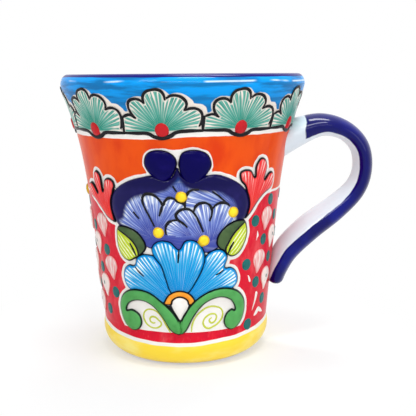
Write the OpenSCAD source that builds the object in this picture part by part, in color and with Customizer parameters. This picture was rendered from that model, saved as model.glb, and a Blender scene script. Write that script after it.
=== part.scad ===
// Jarrito: a flared clay mug with a strap handle and applied flower relief on both faces.
// Millimetres. The origin is the centre of the foot, +Z is up, the handle points to +X
// and the two flower panels face -Y and +Y.

/* [Vessel] */
// Height from the table to the top of the lip
mug_h = 110; // [95:1:130]
// Outer radius of the wall just above the foot
foot_r = 33.3; // [29:0.1:38]
// Outer radius of the lip
rim_r = 47.7; // [43:0.1:54]
// How far the trumpet flare carries the rim past the straight taper
flare_out = 6.1; // [3:0.1:8]
// Height of the foot roll
foot_h = 13; // [10:0.5:16]
// How far the foot roll stands proud of the wall
foot_roll = 0.5; // [0:0.1:1.5]
// Radius of the rounded edge under the foot
foot_round = 9.5; // [6:0.5:10]
// Height of the rolled lip
lip_h = 11; // [8:0.5:14]
// Thickness of the wall
wall_t = 5; // [4:0.25:6.5]
// Thickness of the floor
floor_t = 7; // [5:0.5:10]
// Radius of the inside corner between wall and floor
floor_round = 6; // [3:0.5:9]

/* [Handle] */
// Distance from the lip down to the middle of the upper root
handle_drop = 24.5; // [21:0.5:30]
// Height of the middle of the lower root
handle_low = 28.5; // [24:0.5:36]
// Greatest distance from the wall to the middle of the strap
handle_out = 32; // [24:0.5:38]
// Thickness of the strap
strap_t = 7.6; // [6:0.1:10]
// Width of the strap
strap_w = 17; // [13:0.5:21]
// How much thicker the strap is at its upper root
root_t = 8; // [3:0.5:9]
// How much wider the strap is at its upper root
root_w = 6; // [2:0.5:9]

/* [Relief] */
// Thickness of the relief at the edge of a piece
pad_edge = 0.6; // [0.4:0.1:1.2]
// Rise of the relief from its edge to its crown
pad_rise = 0.9; // [0.4:0.1:1.6]
// Rise of the two plump upper petals
lobe_rise = 1.5; // [0.8:0.1:2.2]
// Film of slip between a piece and what it is stuck to
slip_film = 0.15; // [0.1:0.05:0.3]
// Groove between neighbouring pieces of relief
clay_gap = 0.4; // [0.3:0.05:0.7]
// Radius of the yellow beads
bead_r = 2.25; // [1.8:0.05:2.6]
// Height of the yellow beads over the wall
bead_rise = 2.4; // [1.9:0.1:3]
// Distance from the lip down to the painted line under the rim flowers
rim_band = 20; // [17:0.5:24]
// Radius of the red beads in the rim flowers
rim_bead_r = 2.7; // [2:0.1:3.6]
// Height of the red beads over the wall
rim_bead_rise = 0.9; // [0.5:0.1:1.6]
// Rim flowers round the mug
rim_flowers = 10; // [8:1:12]
// Angle from one rim flower to the next on the front
rim_pitch = 37.5; // [34:0.5:40]

/* [Hidden] */
$fn = 96;

// Wall: a straight taper plus a flare that gathers towards the rim, then a lip rolled in two curves
flare_power = 5;
flare_end = 5;
lip_round = 2.8;
lip_rise = 4;
lip_tuck = [0.9, 3.4];

// Fineness of the curves
profile_step = 6;
arc_steps = 6;
curve_steps = 3;
crown_steps = 7;
crown_lap = 1;
fine_fn = 360;

// The ornament is drawn at these sizes and follows the wall from there
drawn_foot = 13;
drawn_band = 90;
drawn_r = 36.9;

// Angles of the two flower panels and of the handle, counted from the front
faces = [0, 180];
handle_at = 90;

// Rim flowers: those on the front are spaced by eye, the rest share what is left past the handle
rim_first = -44;
rim_front = 4;
rim_bead_up = 1;
rim_lifts = [-0.4, 0, 0.6, 0.7];
rim_last = rim_first + rim_pitch * (rim_front - 1);
rim_past = 2 * handle_at - rim_last;
rim_rest = rim_flowers - rim_front;
rim_spots = concat(
    [for (i = [0:rim_front - 1]) [rim_first + rim_pitch * i, rim_lifts[i]]],
    [for (i = [0:rim_rest - 1]) [rim_past + (360 + rim_first - rim_past) * i / rim_rest, 0]]
);
side_bead_turn = -86;
side_bead_z = 64.5;

band_z = mug_h - rim_band;
panel_tall = (band_z - foot_h) / (drawn_band - drawn_foot);
panel_wide = wall_r((foot_h + band_z) / 2) / drawn_r;
panel_scale = min(panel_tall, panel_wide);
yellow_r = bead_r * panel_scale;
lip_z = mug_h - lip_h;
handle_top = mug_h - handle_drop;
bar_l = rim_r + 20;
lattice_rise = pad_rise / 2;

// Outlines of the relief as [along the wall from the panel axis, height], drawn from the front
lobe_left_line = [
    [-12, 79.5], [-11, 82.5], [-8, 84], [-4, 83.8], [-1, 82], [0, 79.5],
    [-0.8, 76.5], [-2.8, 73.8], [-5.5, 72.5], [-9, 74.5], [-11.2, 77]
];
lobe_right_line = [
    [0.6, 80], [1.5, 82.8], [4, 84], [7.5, 84], [10.7, 82.6], [12.1, 80],
    [12, 77.5], [10, 74.8], [7, 71.8], [4.5, 71.2], [2.2, 73.2], [0.8, 76.5]
];
pansy_line = [
    [0, 74.5], [5, 73], [10, 74.6], [14, 75], [18.5, 73.6], [23.2, 71], [26.4, 67.8], [27.8, 64],
    [27.5, 60.8], [25.8, 57.8], [21, 54], [15, 48], [10, 46], [5, 48], [0, 46.5], [-5, 48],
    [-10, 47.5], [-13, 48.5], [-19, 52], [-24.6, 55.5], [-26.4, 58.4], [-27.5, 61.5], [-27.3, 65],
    [-25.6, 68], [-22.3, 70.7], [-17.8, 72.8], [-13.2, 74.1], [-9, 74.8], [-4, 73.5]
];
petal_middle_line = [
    [-3.4, 31], [-5.2, 36], [-6.8, 41], [-9.4, 44.5], [-10.3, 47], [-9.2, 49.5], [-6.5, 50.8], [-3, 50.3],
    [0, 47.6], [2, 50.6], [4.6, 51.2], [7.4, 49.8], [9.2, 46.6], [9.5, 43.4], [8.4, 39.5], [6.4, 35.6],
    [3.4, 31], [0, 30]
];
petal_left_line = [
    [-2.8, 30.6], [-4.4, 36], [-6, 41], [-8.6, 44.4], [-10.8, 45.2], [-13.8, 45.1], [-16.4, 43.6],
    [-17.6, 40.6], [-20, 40.5], [-22.2, 38.8], [-23.1, 35.8], [-22.3, 32.6], [-20, 30.5], [-15, 29], [-9, 26],
    [-5, 26.5]
];
petal_right_line = [
    [2.8, 30.6], [5.8, 35.6], [7.8, 39.8], [8.9, 43.6], [11.2, 46.2], [14.2, 47.1], [16.8, 46.3],
    [18.4, 43.6], [17.3, 39.8], [19.6, 39.6], [21.8, 38], [22.9, 35.2], [22.4, 32.6], [20, 30.8], [15, 30],
    [9, 27], [5.5, 27]
];
leaf_left_line = [
    [-25.2, 54.2], [-22.5, 55.4], [-18.5, 54.9], [-15.2, 53.2], [-12.8, 50.2], [-12.3, 47.5],
    [-14.2, 45], [-17, 43.2], [-20, 41.8], [-23, 43], [-25, 46], [-25.7, 50]
];
leaf_right_line = [
    [26.2, 56.6], [23.5, 57.5], [20.5, 57.1], [17.2, 55.4], [14.6, 52.6], [13.8, 49.3],
    [15.2, 46.9], [17.8, 44.8], [20.2, 43.5], [23.4, 44.6], [26, 48], [27.3, 52.2]
];
bud_left_line = [
    [-25.8, 56.2], [-27, 61], [-26, 67.5], [-25, 70], [-26, 72.2], [-28.6, 72.9], [-31, 71.6], [-31.9, 67.6],
    [-32.6, 72.6], [-34.2, 74.6], [-36.4, 75], [-38, 73.2], [-37.8, 69.8], [-35.6, 66.6], [-38.6, 69.4],
    [-41, 70.2], [-43.3, 69.2], [-43.8, 66.8], [-42.4, 64.8], [-38.6, 63.3], [-34.2, 60.4], [-30, 57.2]
];
bud_right_line = [
    [26, 57.6], [27, 62], [26, 69], [23.6, 72], [23.3, 75], [25.6, 76.1], [28.6, 75.5], [30.4, 73],
    [30.6, 76.6], [32.4, 79.3], [34.4, 79.9], [36.6, 78.6], [37.4, 75.4], [36, 71.6], [38.6, 73.7],
    [41.3, 73.9], [42.6, 72], [42.2, 69], [40.6, 67.3], [36, 65.6], [32.2, 62.8], [28.5, 59]
];
scroll_left_line = [
    [0, 14.2], [-0.2, 19], [-3.2, 23.8], [-7, 27.4], [-11.5, 30.4], [-16.5, 31.2], [-21, 30.2],
    [-24.5, 27.5], [-26, 23.5], [-25.4, 19.5], [-23.5, 16], [-20, 14], [-16.6, 15], [-15.1, 18],
    [-16.2, 21.2], [-19.5, 22.7], [-22.2, 22], [-21.2, 24.4], [-18.8, 26], [-15.5, 26.6], [-12.5, 26],
    [-9.5, 24], [-6.5, 20], [-3.6, 15.4]
];
scroll_right_line = [
    [-0.2, 14.4], [0, 19], [1.9, 23], [4.8, 27], [9.5, 30.4], [14.6, 31.9], [19, 31.5], [23.2, 29.6],
    [26, 26.2], [26.6, 22.5], [25.8, 18.8], [23.7, 15.7], [20.4, 14.2], [17.6, 15.6], [16.6, 18.5],
    [17.7, 21.4], [20, 22.9], [21.5, 22.3], [20.9, 24.6], [19, 26.8], [15.5, 28], [11.5, 27.3], [8.2, 25.2],
    [5, 21], [2.2, 15.6]
];
drop_line = [
    [0, 28.4], [-2.2, 27.4], [-3.1, 25.2], [-2, 22.4], [0, 19.6], [2, 22.4], [3.2, 25.2], [2.3, 27.4]
];
arch_at = [-0.2, 26];
arch_out = 5.5;
arch_in = 2.9;
arch_line = concat(
    [for (a = [175:-17:5]) arch_at + arch_out * [cos(a), sin(a)]],
    [for (a = [5:34:175]) arch_at + arch_in * [cos(a), sin(a)]]
);
bead_spots = [[1.3, 67.1], [20.6, 60.6], [-7.3, 53.8], [9.2, 50.8]];

// Lattice at the sides: two slanting steps, and the cells that hold a raised petal
lattice_a = [5.8, -8.2];
lattice_b = [-10.3, -8.3];
lattice_petal_line = [
    [0, 4.8], [-3, 4], [-4.4, 1.2], [-3.2, -2], [-1.9, -4.6], [0.6, -2.6], [3, -0.6], [4.1, 1.4], [2.6, 3.9]
];
right_cell = [35.3, 39];
right_steps = [[-1, -1], [0, -1], [0, 0], [1, 0], [1, -1], [2, 0]];
left_cell = [36.8, 29];
left_steps = [[0, 0], [-1, 0], [-1, -1], [-2, -1], [0, -1], [1, 0], [-1, -2], [1, -1]];
lattice_petal_r = 4.6;
lattice_cells = concat(
    [for (s = right_steps) right_cell + s[0] * lattice_a + s[1] * lattice_b],
    [for (s = left_steps) let (c = left_cell + s[0] * lattice_a + s[1] * lattice_b) [-c[0], c[1]]]
);

// Middle of the strap as [share of the way out, share of the height between the roots]
handle_line = [
    [-0.12, 0.965], [0.09, 1.025], [0.38, 1.075], [0.68, 1.035], [0.91, 0.925], [1, 0.77], [0.95, 0.62],
    [0.74, 0.475], [0.45, 0.33], [0.21, 0.185], [0.1, 0.06], [0.045, -0.05]
];
strap_sides = 14;
strap_square = 0.75;
root_share = 0.32;
tip_share = 0.045;
tip_least = 0.4;

// Half the height of wall that each root covers
top_root_half = strap_t + root_t / 2;
low_root_half = 1.2 * strap_t;

// Outer radius of the wall at a height
function wall_r(z) =
    let (t = max(0, (z - foot_h) / (mug_h - flare_end - foot_h)))
    foot_r + (rim_r - foot_r - flare_out) * t + flare_out * pow(t, flare_power);

// Points of an elliptic arc about a centre, from angle a to angle b
function arc(c, rx, rz, a, b) =
    [for (i = [0:arc_steps]) let (t = a + (b - a) * i / arc_steps) [c[0] + rx * cos(t), c[1] + rz * sin(t)]];

// Heights from z0 to z1 in equal steps no longer than a given one
function heights(z0, z1, step) = let (n = ceil((z1 - z0) / step)) [for (i = [0:n]) z0 + (z1 - z0) * i / n];

// A list from its last entry to its first
function backwards(list) = [for (i = [len(list) - 1:-1:0]) list[i]];

// A smooth curve through four points, from the second to the third
function bow(p, q, r, s, t) =
    0.5 * (2 * q + (r - p) * t + (2 * p - 5 * q + 4 * r - s) * t * t + (3 * q - p - 3 * r + s) * t * t * t);

// A closed smooth curve through all the points of a line
function closed_curve(line) =
    let (n = len(line))
    [for (i = [0:n - 1]) for (k = [0:curve_steps - 1])
        bow(line[(i + n - 1) % n], line[i], line[(i + 1) % n], line[(i + 2) % n], k / curve_steps)];

// An open smooth curve through all the points of a line
function open_curve(line) =
    let (last = len(line) - 1)
    concat([for (i = [0:last - 1]) for (k = [0:curve_steps - 1])
        bow(line[max(0, i - 1)], line[i], line[i + 1], line[min(last, i + 2)], k / curve_steps)],
        [line[last]]);

// Twice the area that a closed line goes round, positive when it runs anticlockwise
function turn_area(line, i = 0) =
    i == len(line) ? 0 : cross(line[i], line[(i + 1) % len(line)]) + turn_area(line, i + 1);

// A closed line with every point moved outwards by d
function grown(line, d) =
    let (n = len(line), way = sign(turn_area(line)))
    [for (i = [0:n - 1])
        let (e = line[(i + 1) % n] - line[(i + n - 1) % n])
        line[i] + d * way * [e[1], -e[0]] / norm(e)];

// A point of the drawing as [angle round the mug, height]
function on_wall(p) =
    let (z = foot_h + (p[1] - drawn_foot) * panel_tall)
    [p[0] * panel_wide / wall_r(z) * 180 / PI, z];

// Whether something of radius r on the wall, so far from the handle's plane, is clear of a root
function clear_of_root(off, z, r, half_w, mid_z, half_z) =
    off > half_w + r + clay_gap || abs(z - mid_z) > half_z + r + clay_gap;

// Whether something of radius r on the wall is clear of both roots of the handle
function clear_of_handle(angle, z, r) =
    let (turn = abs((angle - handle_at) % 360), off = min(turn, 360 - turn) * PI / 180 * wall_r(z))
    clear_of_root(off, z, r, (strap_w + root_w) / 2, handle_top, top_root_half)
        && clear_of_root(off, z, r, strap_w / 2, handle_low + strap_t / 2, low_root_half);

// A bar with the outline of a piece, from the axis outwards through the wall
module outline_bar(line, grow = 0) {
    angles = [for (p = line) on_wall(p)[0]];
    mid = (min(angles) + max(angles)) / 2;
    rotate(mid)
        rotate([90, 0, 0])
            linear_extrude(bar_l)
                polygon([for (p = grown(closed_curve(line), grow))
                    let (w = on_wall(p))
                    [wall_r(w[1]) * sin(w[0] - mid), w[1]]]);
}

// The solid inside the outer face of the wall, with its film of slip
module wall_core(z0, z1) {
    rotate_extrude($fn = fine_fn)
        polygon(concat(
            [[0, z0]],
            [for (z = heights(z0, z1, profile_step)) [wall_r(z) + slip_film, z]],
            [[0, z1]]
        ));
}

// A ring of clay on the wall, crowned between two heights
module pad_ring(z0, z1, rise) {
    zs = heights(z0, z1, (z1 - z0) / crown_steps);
    mid = (z0 + z1) / 2;
    half = (z1 - z0) / 2;
    inside = [for (z = zs) [wall_r(z) + slip_film, z]];
    outside = [for (p = inside) p + [pad_edge + rise * sqrt(max(0, 1 - pow((p[1] - mid) / half, 2))), 0]];
    rotate_extrude()
        polygon(concat(inside, backwards(outside)));
}

// One piece of relief, cut back from the outlines that lie over it and from its children
module sprig(line, over = [], rise = pad_rise) {
    zs = [for (p = line) on_wall(p)[1]];
    difference() {
        intersection() {
            pad_ring(min(zs) - crown_lap, max(zs) + crown_lap, rise);
            outline_bar(line);
        }
        for (other = over)
            outline_bar(other, clay_gap);
        children();
    }
}

// The same piece on both faces
module on_both_faces() {
    for (face = faces)
        rotate(face)
            children();
}

// A round bead seated on the wall
module dome(angle, z, r, rise) {
    ball = (r * r + rise * rise) / (2 * rise);
    difference() {
        rotate(angle)
            translate([0, ball - rise - slip_film - wall_r(z), z])
                sphere(ball);
        wall_core(z - ball - crown_lap, z + ball + crown_lap);
    }
}

// Room for the beads in the relief round them
module bead_seats() {
    for (spot = bead_spots) {
        w = on_wall(spot);
        rotate(w[0])
            translate([0, 0, w[1]])
                rotate([90, 0, 0])
                    cylinder(r = yellow_r + clay_gap, h = bar_l);
    }
}

module vessel() {
    foot_c = [foot_r + foot_roll - foot_round, foot_round];
    corner_z = floor_t + floor_round;
    corner_c = [wall_r(corner_z) - wall_t - floor_round, corner_z];
    lip_c = [rim_r - lip_round, mug_h - lip_rise];
    wall = [for (z = heights(foot_h, lip_z, profile_step)) [wall_r(z), z]];
    roll = open_curve([wall[len(wall) - 1], lip_c + [lip_round, 0] - lip_tuck, lip_c + [lip_round, 0]]);
    inside = [for (z = heights(corner_z, lip_z, profile_step)) [wall_r(z) - wall_t, z]];
    color("ivory")
        rotate_extrude()
            polygon(concat(
                [[0, 0]],
                arc(foot_c, foot_round, foot_round, -90, 0),
                wall,
                [for (i = [1:len(roll) - 2]) roll[i]],
                arc(lip_c, lip_round, lip_rise, 0, 90),
                [for (i = [1:arc_steps]) arc(lip_c, wall_t - lip_round, lip_rise, 90, 180)[i]],
                backwards(inside),
                [for (i = [1:arc_steps]) arc(corner_c, floor_round, floor_round, 0, -90)[i]],
                [[0, floor_t]]
            ));
}

// A point of the strap's middle line in the XZ plane
function strap_middle(p) =
    let (z = handle_low + p[1] * (handle_top - handle_low))
    [wall_r(z) + p[0] * handle_out, z];

// A squarish oval across the strap
function strap_ring(at, along, t, w) =
    [for (k = [0:strap_sides - 1])
        let (c = cos(360 * k / strap_sides), s = sin(360 * k / strap_sides))
        let (dt = t / 2 * sign(c) * pow(abs(c), strap_square))
        [at[0] - along[1] * dt, w / 2 * sign(s) * pow(abs(s), strap_square), at[1] + along[0] * dt]];

module handle() {
    path = open_curve([for (p = handle_line) strap_middle(p)]);
    last = len(path) - 1;
    m = strap_sides;
    points = [for (i = [0:last])
        let (e = path[min(last, i + 1)] - path[max(0, i - 1)])
        let (swell = pow(max(0, 1 - i / last / root_share), 2))
        let (left = min(1, (1 - i / last) / tip_share))
        let (tip = max(tip_least, sqrt(1 - pow(1 - left, 2))))
        let (t = (strap_t + root_t * swell) * tip, w = (strap_w + root_w * swell) * tip)
        each strap_ring(path[i], e / norm(e), t, w)];
    sides = [for (i = [0:last - 1]) for (k = [0:m - 1])
        [i * m + k, (i + 1) * m + k, (i + 1) * m + (k + 1) % m, i * m + (k + 1) % m]];
    ends = [[for (k = [0:m - 1]) k], [for (k = [m - 1:-1:0]) last * m + k]];
    color("navy")
        difference() {
            polyhedron(points, concat(sides, ends));
            wall_core(foot_h / 2, lip_z);
        }
}

module pansy() {
    color("slateblue")
        on_both_faces()
            sprig(pansy_line, [lobe_left_line, lobe_right_line, petal_left_line, petal_middle_line,
                petal_right_line, leaf_left_line, leaf_right_line])
                bead_seats();
}

module lobe_left() {
    color("midnightblue")
        on_both_faces()
            sprig(lobe_left_line, rise = lobe_rise);
}

module lobe_right() {
    color("midnightblue")
        on_both_faces()
            sprig(lobe_right_line, [lobe_left_line], lobe_rise);
}

module petal_left() {
    color("deepskyblue")
        on_both_faces()
            sprig(petal_left_line, [petal_middle_line, scroll_left_line, arch_line]);
}

module petal_middle() {
    color("deepskyblue")
        on_both_faces()
            sprig(petal_middle_line, [arch_line])
                bead_seats();
}

module petal_right() {
    color("deepskyblue")
        on_both_faces()
            sprig(petal_right_line, [petal_middle_line, scroll_right_line, arch_line]);
}

module leaf_left() {
    color("yellowgreen")
        on_both_faces()
            sprig(leaf_left_line, [petal_left_line]);
}

module leaf_right() {
    color("yellowgreen")
        on_both_faces()
            sprig(leaf_right_line, [petal_right_line]);
}

module bud_left() {
    color("crimson")
        on_both_faces()
            sprig(bud_left_line, [pansy_line, leaf_left_line]);
}

module bud_right() {
    color("crimson")
        on_both_faces()
            sprig(bud_right_line, [pansy_line, leaf_right_line]);
}

module scroll_left() {
    color("mediumseagreen")
        on_both_faces()
            sprig(scroll_left_line);
}

module scroll_right() {
    color("mediumseagreen")
        on_both_faces()
            sprig(scroll_right_line, [scroll_left_line]);
}

module arch() {
    color("orange")
        on_both_faces()
            sprig(arch_line, [scroll_left_line, scroll_right_line]);
}

module drop() {
    color("white")
        on_both_faces()
            sprig(drop_line, [arch_line, scroll_left_line, scroll_right_line]);
}

module panel_beads() {
    color("gold")
        on_both_faces()
            for (spot = bead_spots)
                dome(on_wall(spot)[0], on_wall(spot)[1], yellow_r, bead_rise);
}

module side_beads() {
    color("gold")
        dome(side_bead_turn, on_wall([0, side_bead_z])[1], yellow_r, bead_rise);
}

module lattice_petals() {
    color("mistyrose")
        for (face = faces)
            for (cell = lattice_cells)
                if (clear_of_handle(on_wall(cell)[0] + face, on_wall(cell)[1], lattice_petal_r))
                    rotate(face)
                        sprig(
                            [for (p = lattice_petal_line) cell + [sign(cell[0]) * p[0], p[1]]],
                            rise = lattice_rise
                        );
}

module rim_beads() {
    color("firebrick")
        for (spot = rim_spots)
            let (z = band_z + rim_bead_up + spot[1])
                if (clear_of_handle(spot[0], z, rim_bead_r))
                    dome(spot[0], z, rim_bead_r, rim_bead_rise);
}

vessel();
handle();
pansy();
lobe_left();
lobe_right();
petal_left();
petal_middle();
petal_right();
leaf_left();
leaf_right();
bud_left();
bud_right();
scroll_left();
scroll_right();
arch();
drop();
panel_beads();
side_beads();
lattice_petals();
rim_beads();
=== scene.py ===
"""Looks of the jarrito: a spun and painted vessel, a strap handle and flower relief on both faces."""

import math

import bpy
import numpy as np
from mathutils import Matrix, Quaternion, Vector


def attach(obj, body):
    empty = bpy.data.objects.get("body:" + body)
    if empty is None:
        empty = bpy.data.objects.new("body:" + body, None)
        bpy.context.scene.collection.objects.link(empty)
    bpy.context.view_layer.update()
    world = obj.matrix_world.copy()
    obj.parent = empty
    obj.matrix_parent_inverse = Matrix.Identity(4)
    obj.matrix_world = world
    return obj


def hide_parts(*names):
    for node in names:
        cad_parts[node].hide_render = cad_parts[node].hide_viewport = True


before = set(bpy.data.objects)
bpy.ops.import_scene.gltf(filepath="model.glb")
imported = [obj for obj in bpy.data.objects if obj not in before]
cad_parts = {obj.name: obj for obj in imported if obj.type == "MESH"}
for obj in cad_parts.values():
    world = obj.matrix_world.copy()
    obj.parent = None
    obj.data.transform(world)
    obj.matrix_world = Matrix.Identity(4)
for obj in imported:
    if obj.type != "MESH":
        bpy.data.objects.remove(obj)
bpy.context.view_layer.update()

# Sizes of the mug in millimetres, as in the part's source
MM = 0.001
MUG_H = 110
FOOT_R = 33.3
RIM_R = 47.7
FLARE_OUT = 6.1
FLARE_POWER = 5
FLARE_END = 5
FOOT_H = 13
FOOT_ROLL = 0.5
FOOT_ROUND = 9.5
LIP_Z = 99
LIP_ROUND = 2.8
LIP_RISE = 4
WALL_T = 5
FLOOR_T = 7
FLOOR_ROUND = 6
FACES = (0, 180)
LIP_TUCK = (0.9, 3.4)
LIP_C = (RIM_R - LIP_ROUND, MUG_H - LIP_RISE)
WAIST = [(33.7, 11.2), (33.36, 13), (33.42, 15)]

# Relief: how proud the pieces stand, and how wide their rounded edge is
PAD_TOP = 1.5
PAD_ROLL = 2.4
LOBE_TOP = 2.1
LOBE_ROLL = 4.5
PROUD_LIFT = 0.15
BACK_IN = 0.4
SEAM = 0.35
SEAM_LINE = 0.28

# Meshes: a slab's margins are uneven, so that no line of its grid runs along its outline
FINE_CELL = 0.42
SLAB_LOW = 1.037
SLAB_HIGH = 1.013
SPIN_STEPS = 360
SMOOTH_ANGLE = 50
TINY = 1e-9

# Paint: half widths of brush lines, and the white left bare round a motif
INK_HALF = 0.36
INK_BOLD = 0.48
INK_FLAT = 0.4
HALO = 1.15
LOBE_HALO_LESS = 0.45
HALO_LOW = 15.2
FAR_OFF = 9.0
STROKE_END = 0.62
LINE_LIFT = 0.03
SPIRAL_HALF = 0.34

# Painted bands of the vessel: the heights at which they begin or end, and how they sway round it
CLAY_TOP = 0.85
FOOT_LINE = 9.3
FOOT_SWING = 3
FOOT_WAVE = 0.3
FOOT_WHITE = 1.4
RED_TOP = 65.75
ORANGE_LOW = 66.65
ORANGE_TOP = 87.75
CREAM_LOW = 89.8
SKY_LOW = 96.2
INNER_NAVY_LOW = 105.6
LIP_NAVY_LOW = 109
# Height of the painted highlight, a pale broken line along the lip
LIP_HIGHLIGHT_Z = 109.1
BAND_LIFT = 0.9
BAND_TURNS = [-8, 4, 75, 130]

# Outlines of the relief as (along the wall from the panel axis, height)
LINES = {
    "lobe_left": [
        (-12, 79.5), (-11, 82.5), (-8, 84), (-4, 83.8), (-1, 82), (0, 79.5),
        (-0.8, 76.5), (-2.8, 73.8), (-5.5, 72.5), (-9, 74.5), (-11.2, 77),
    ],
    "lobe_right": [
        (0.6, 80), (1.5, 82.8), (4, 84), (7.5, 84), (10.7, 82.6), (12.1, 80),
        (12, 77.5), (10, 74.8), (7, 71.8), (4.5, 71.2), (2.2, 73.2), (0.8, 76.5),
    ],
    "pansy": [
        (0, 77.8), (1.4, 75), (5, 73), (10, 74.6), (14, 75), (18.5, 73.6), (23.2, 71), (26.4, 67.8),
        (27.8, 64), (27.5, 60.8), (25.8, 57.8), (21, 54), (15, 48), (10, 46), (5, 48), (0, 46.5), (-5, 48),
        (-10, 47.5), (-13, 48.5), (-19, 52), (-24.6, 55.5), (-26.4, 58.4), (-27.5, 61.5), (-27.3, 65),
        (-25.6, 68), (-22.3, 70.7), (-17.8, 72.8), (-13.2, 74.1), (-9, 74.8), (-4, 73.5), (-1.4, 75),
    ],
    "petal_middle": [
        (-3.4, 31), (-5.2, 36), (-6.8, 41), (-9.4, 44.5), (-10.3, 47), (-9.2, 49.5), (-6.5, 50.8),
        (-3, 50.3), (0, 47.6), (2, 50.6), (4.6, 51.2), (7.4, 49.8), (9.2, 46.6), (9.5, 43.4),
        (8.4, 39.5), (6.4, 35.6), (3.4, 31), (0, 30),
    ],
    "petal_left": [
        (-2.8, 30.6), (-4.4, 36), (-6, 41), (-8.6, 44.4), (-10.8, 45.2), (-13.8, 45.1), (-16.4, 43.6),
        (-17.6, 40.6), (-20, 40.5), (-22.2, 38.8), (-23.1, 35.8), (-22.3, 32.6), (-20, 30.5), (-15, 29),
        (-9, 26), (-5, 26.5),
    ],
    "petal_right": [
        (2.8, 30.6), (5.8, 35.6), (7.8, 39.8), (8.9, 43.6), (11.2, 46.2), (14.2, 47.1), (16.8, 46.3),
        (18.4, 43.6), (17.3, 39.8), (19.6, 39.6), (21.8, 38), (22.9, 35.2), (22.4, 32.6), (20, 30.8),
        (15, 30), (9, 27), (5.5, 27),
    ],
    "leaf_left": [
        (-25.2, 54.2), (-22.5, 55.4), (-18.5, 54.9), (-15.2, 53.2), (-12.8, 50.2), (-12.3, 47.5),
        (-14.2, 45), (-17, 43.2), (-20, 41.8), (-23, 43), (-25, 46), (-25.7, 50),
    ],
    "leaf_right": [
        (26.2, 56.6), (23.5, 57.5), (20.5, 57.1), (17.2, 55.4), (14.6, 52.6), (13.8, 49.3),
        (15.2, 46.9), (17.8, 44.8), (20.2, 43.5), (23.4, 44.6), (26, 48), (27.3, 52.2),
    ],
    "bud_left": [
        (-25.8, 56.2), (-27, 61), (-26, 67.5), (-25, 70), (-26, 72.2), (-28.6, 72.9), (-31, 71.6),
        (-31.9, 67.6), (-32.6, 72.6), (-34.2, 74.6), (-36.4, 75), (-38, 73.2), (-37.8, 69.8),
        (-35.6, 66.6), (-38.6, 69.4), (-41, 70.2), (-43.3, 69.2), (-43.8, 66.8), (-42.4, 64.8),
        (-38.6, 63.3), (-34.2, 60.4), (-30, 57.2),
    ],
    "bud_right": [
        (26, 57.6), (27, 62), (26, 69), (23.6, 72), (23.3, 75), (25.6, 76.1), (28.6, 75.5), (30.4, 73),
        (30.6, 76.6), (32.4, 79.3), (34.4, 79.9), (36.6, 78.6), (37.4, 75.4), (36, 71.6), (38.6, 73.7),
        (41.3, 73.9), (42.6, 72), (42.2, 69), (40.6, 67.3), (36, 65.6), (32.2, 62.8), (28.5, 59),
    ],
    "scroll_left": [
        (0, 14.2), (-0.2, 19), (-3.2, 23.8), (-7, 27.4), (-11.5, 30.4), (-16.5, 31.2), (-21, 30.2),
        (-24.5, 27.5), (-26, 23.5), (-25.4, 19.5), (-23.5, 16), (-20, 14), (-16.6, 15), (-15.1, 18),
        (-16.2, 21.2), (-19.5, 22.7), (-22.2, 22), (-21.2, 24.4), (-18.8, 26), (-15.5, 26.6),
        (-12.5, 26), (-9.5, 24), (-6.5, 20), (-3.6, 15.4),
    ],
    "scroll_right": [
        (-0.2, 14.4), (0, 19), (1.9, 23), (4.8, 27), (9.5, 30.4), (14.6, 31.9), (19, 31.5), (23.2, 29.6),
        (26, 26.2), (26.6, 22.5), (25.8, 18.8), (23.7, 15.7), (20.4, 14.2), (17.6, 15.6), (16.6, 18.5),
        (17.7, 21.4), (20, 22.9), (21.5, 22.3), (20.9, 24.6), (19, 26.8), (15.5, 28), (11.5, 27.3),
        (8.2, 25.2), (5, 21), (2.2, 15.6),
    ],
    "drop": [
        (0, 29.6), (-2.6, 28.8), (-3.8, 26.8), (-3.2, 24.8), (-1.9, 22.4), (0, 19.6),
        (1.9, 22.4), (3.2, 24.8), (3.8, 26.8), (2.6, 28.8),
    ],
}
ARCH_AT = (0, 25.7)
ARCH_OUT = 6
ARCH_IN = 3.4
SCROLL_JOIN = [(0, 15.8), (-0.1, 18.4)]
BEAD_SPOTS = [(1.3, 67.1), (20.6, 60.6), (-7.3, 53.8), (9.2, 50.8)]
BEAD_R = 2.6
BEAD_RISE = 2.5
BEAD_CELL = 0.3
SIDE_BEAD_TURN = -86
SIDE_BEAD_Z = 64.5
SIDE_BEAD_R = 2.5
SIDE_BEAD_RISE = 1.3

# White ground inside the two scrolls
BAYS = [
    [
        (-21, 24), (-16, 26.8), (-11, 25), (-7, 20.5), (-3.4, 15), (-8, 14.6), (-14, 14.8), (-15, 19),
        (-18, 22.5),
    ],
    [
        (20.8, 24), (16, 28), (10, 26.5), (5.4, 21.5), (2, 15.2), (8, 14.8), (15, 15), (16.5, 19),
        (18, 22.4),
    ],
]

# Shade round the drop, and the white notch between the two lobes
DROP_SEAT = [(-6.4, 25.8), (6.4, 25.8), (0.7, 16.6), (-0.7, 16.6)]
LOBE_NOTCH = [(-2.4, 83.4), (0.3, 79.5), (3, 83.4)]

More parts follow.
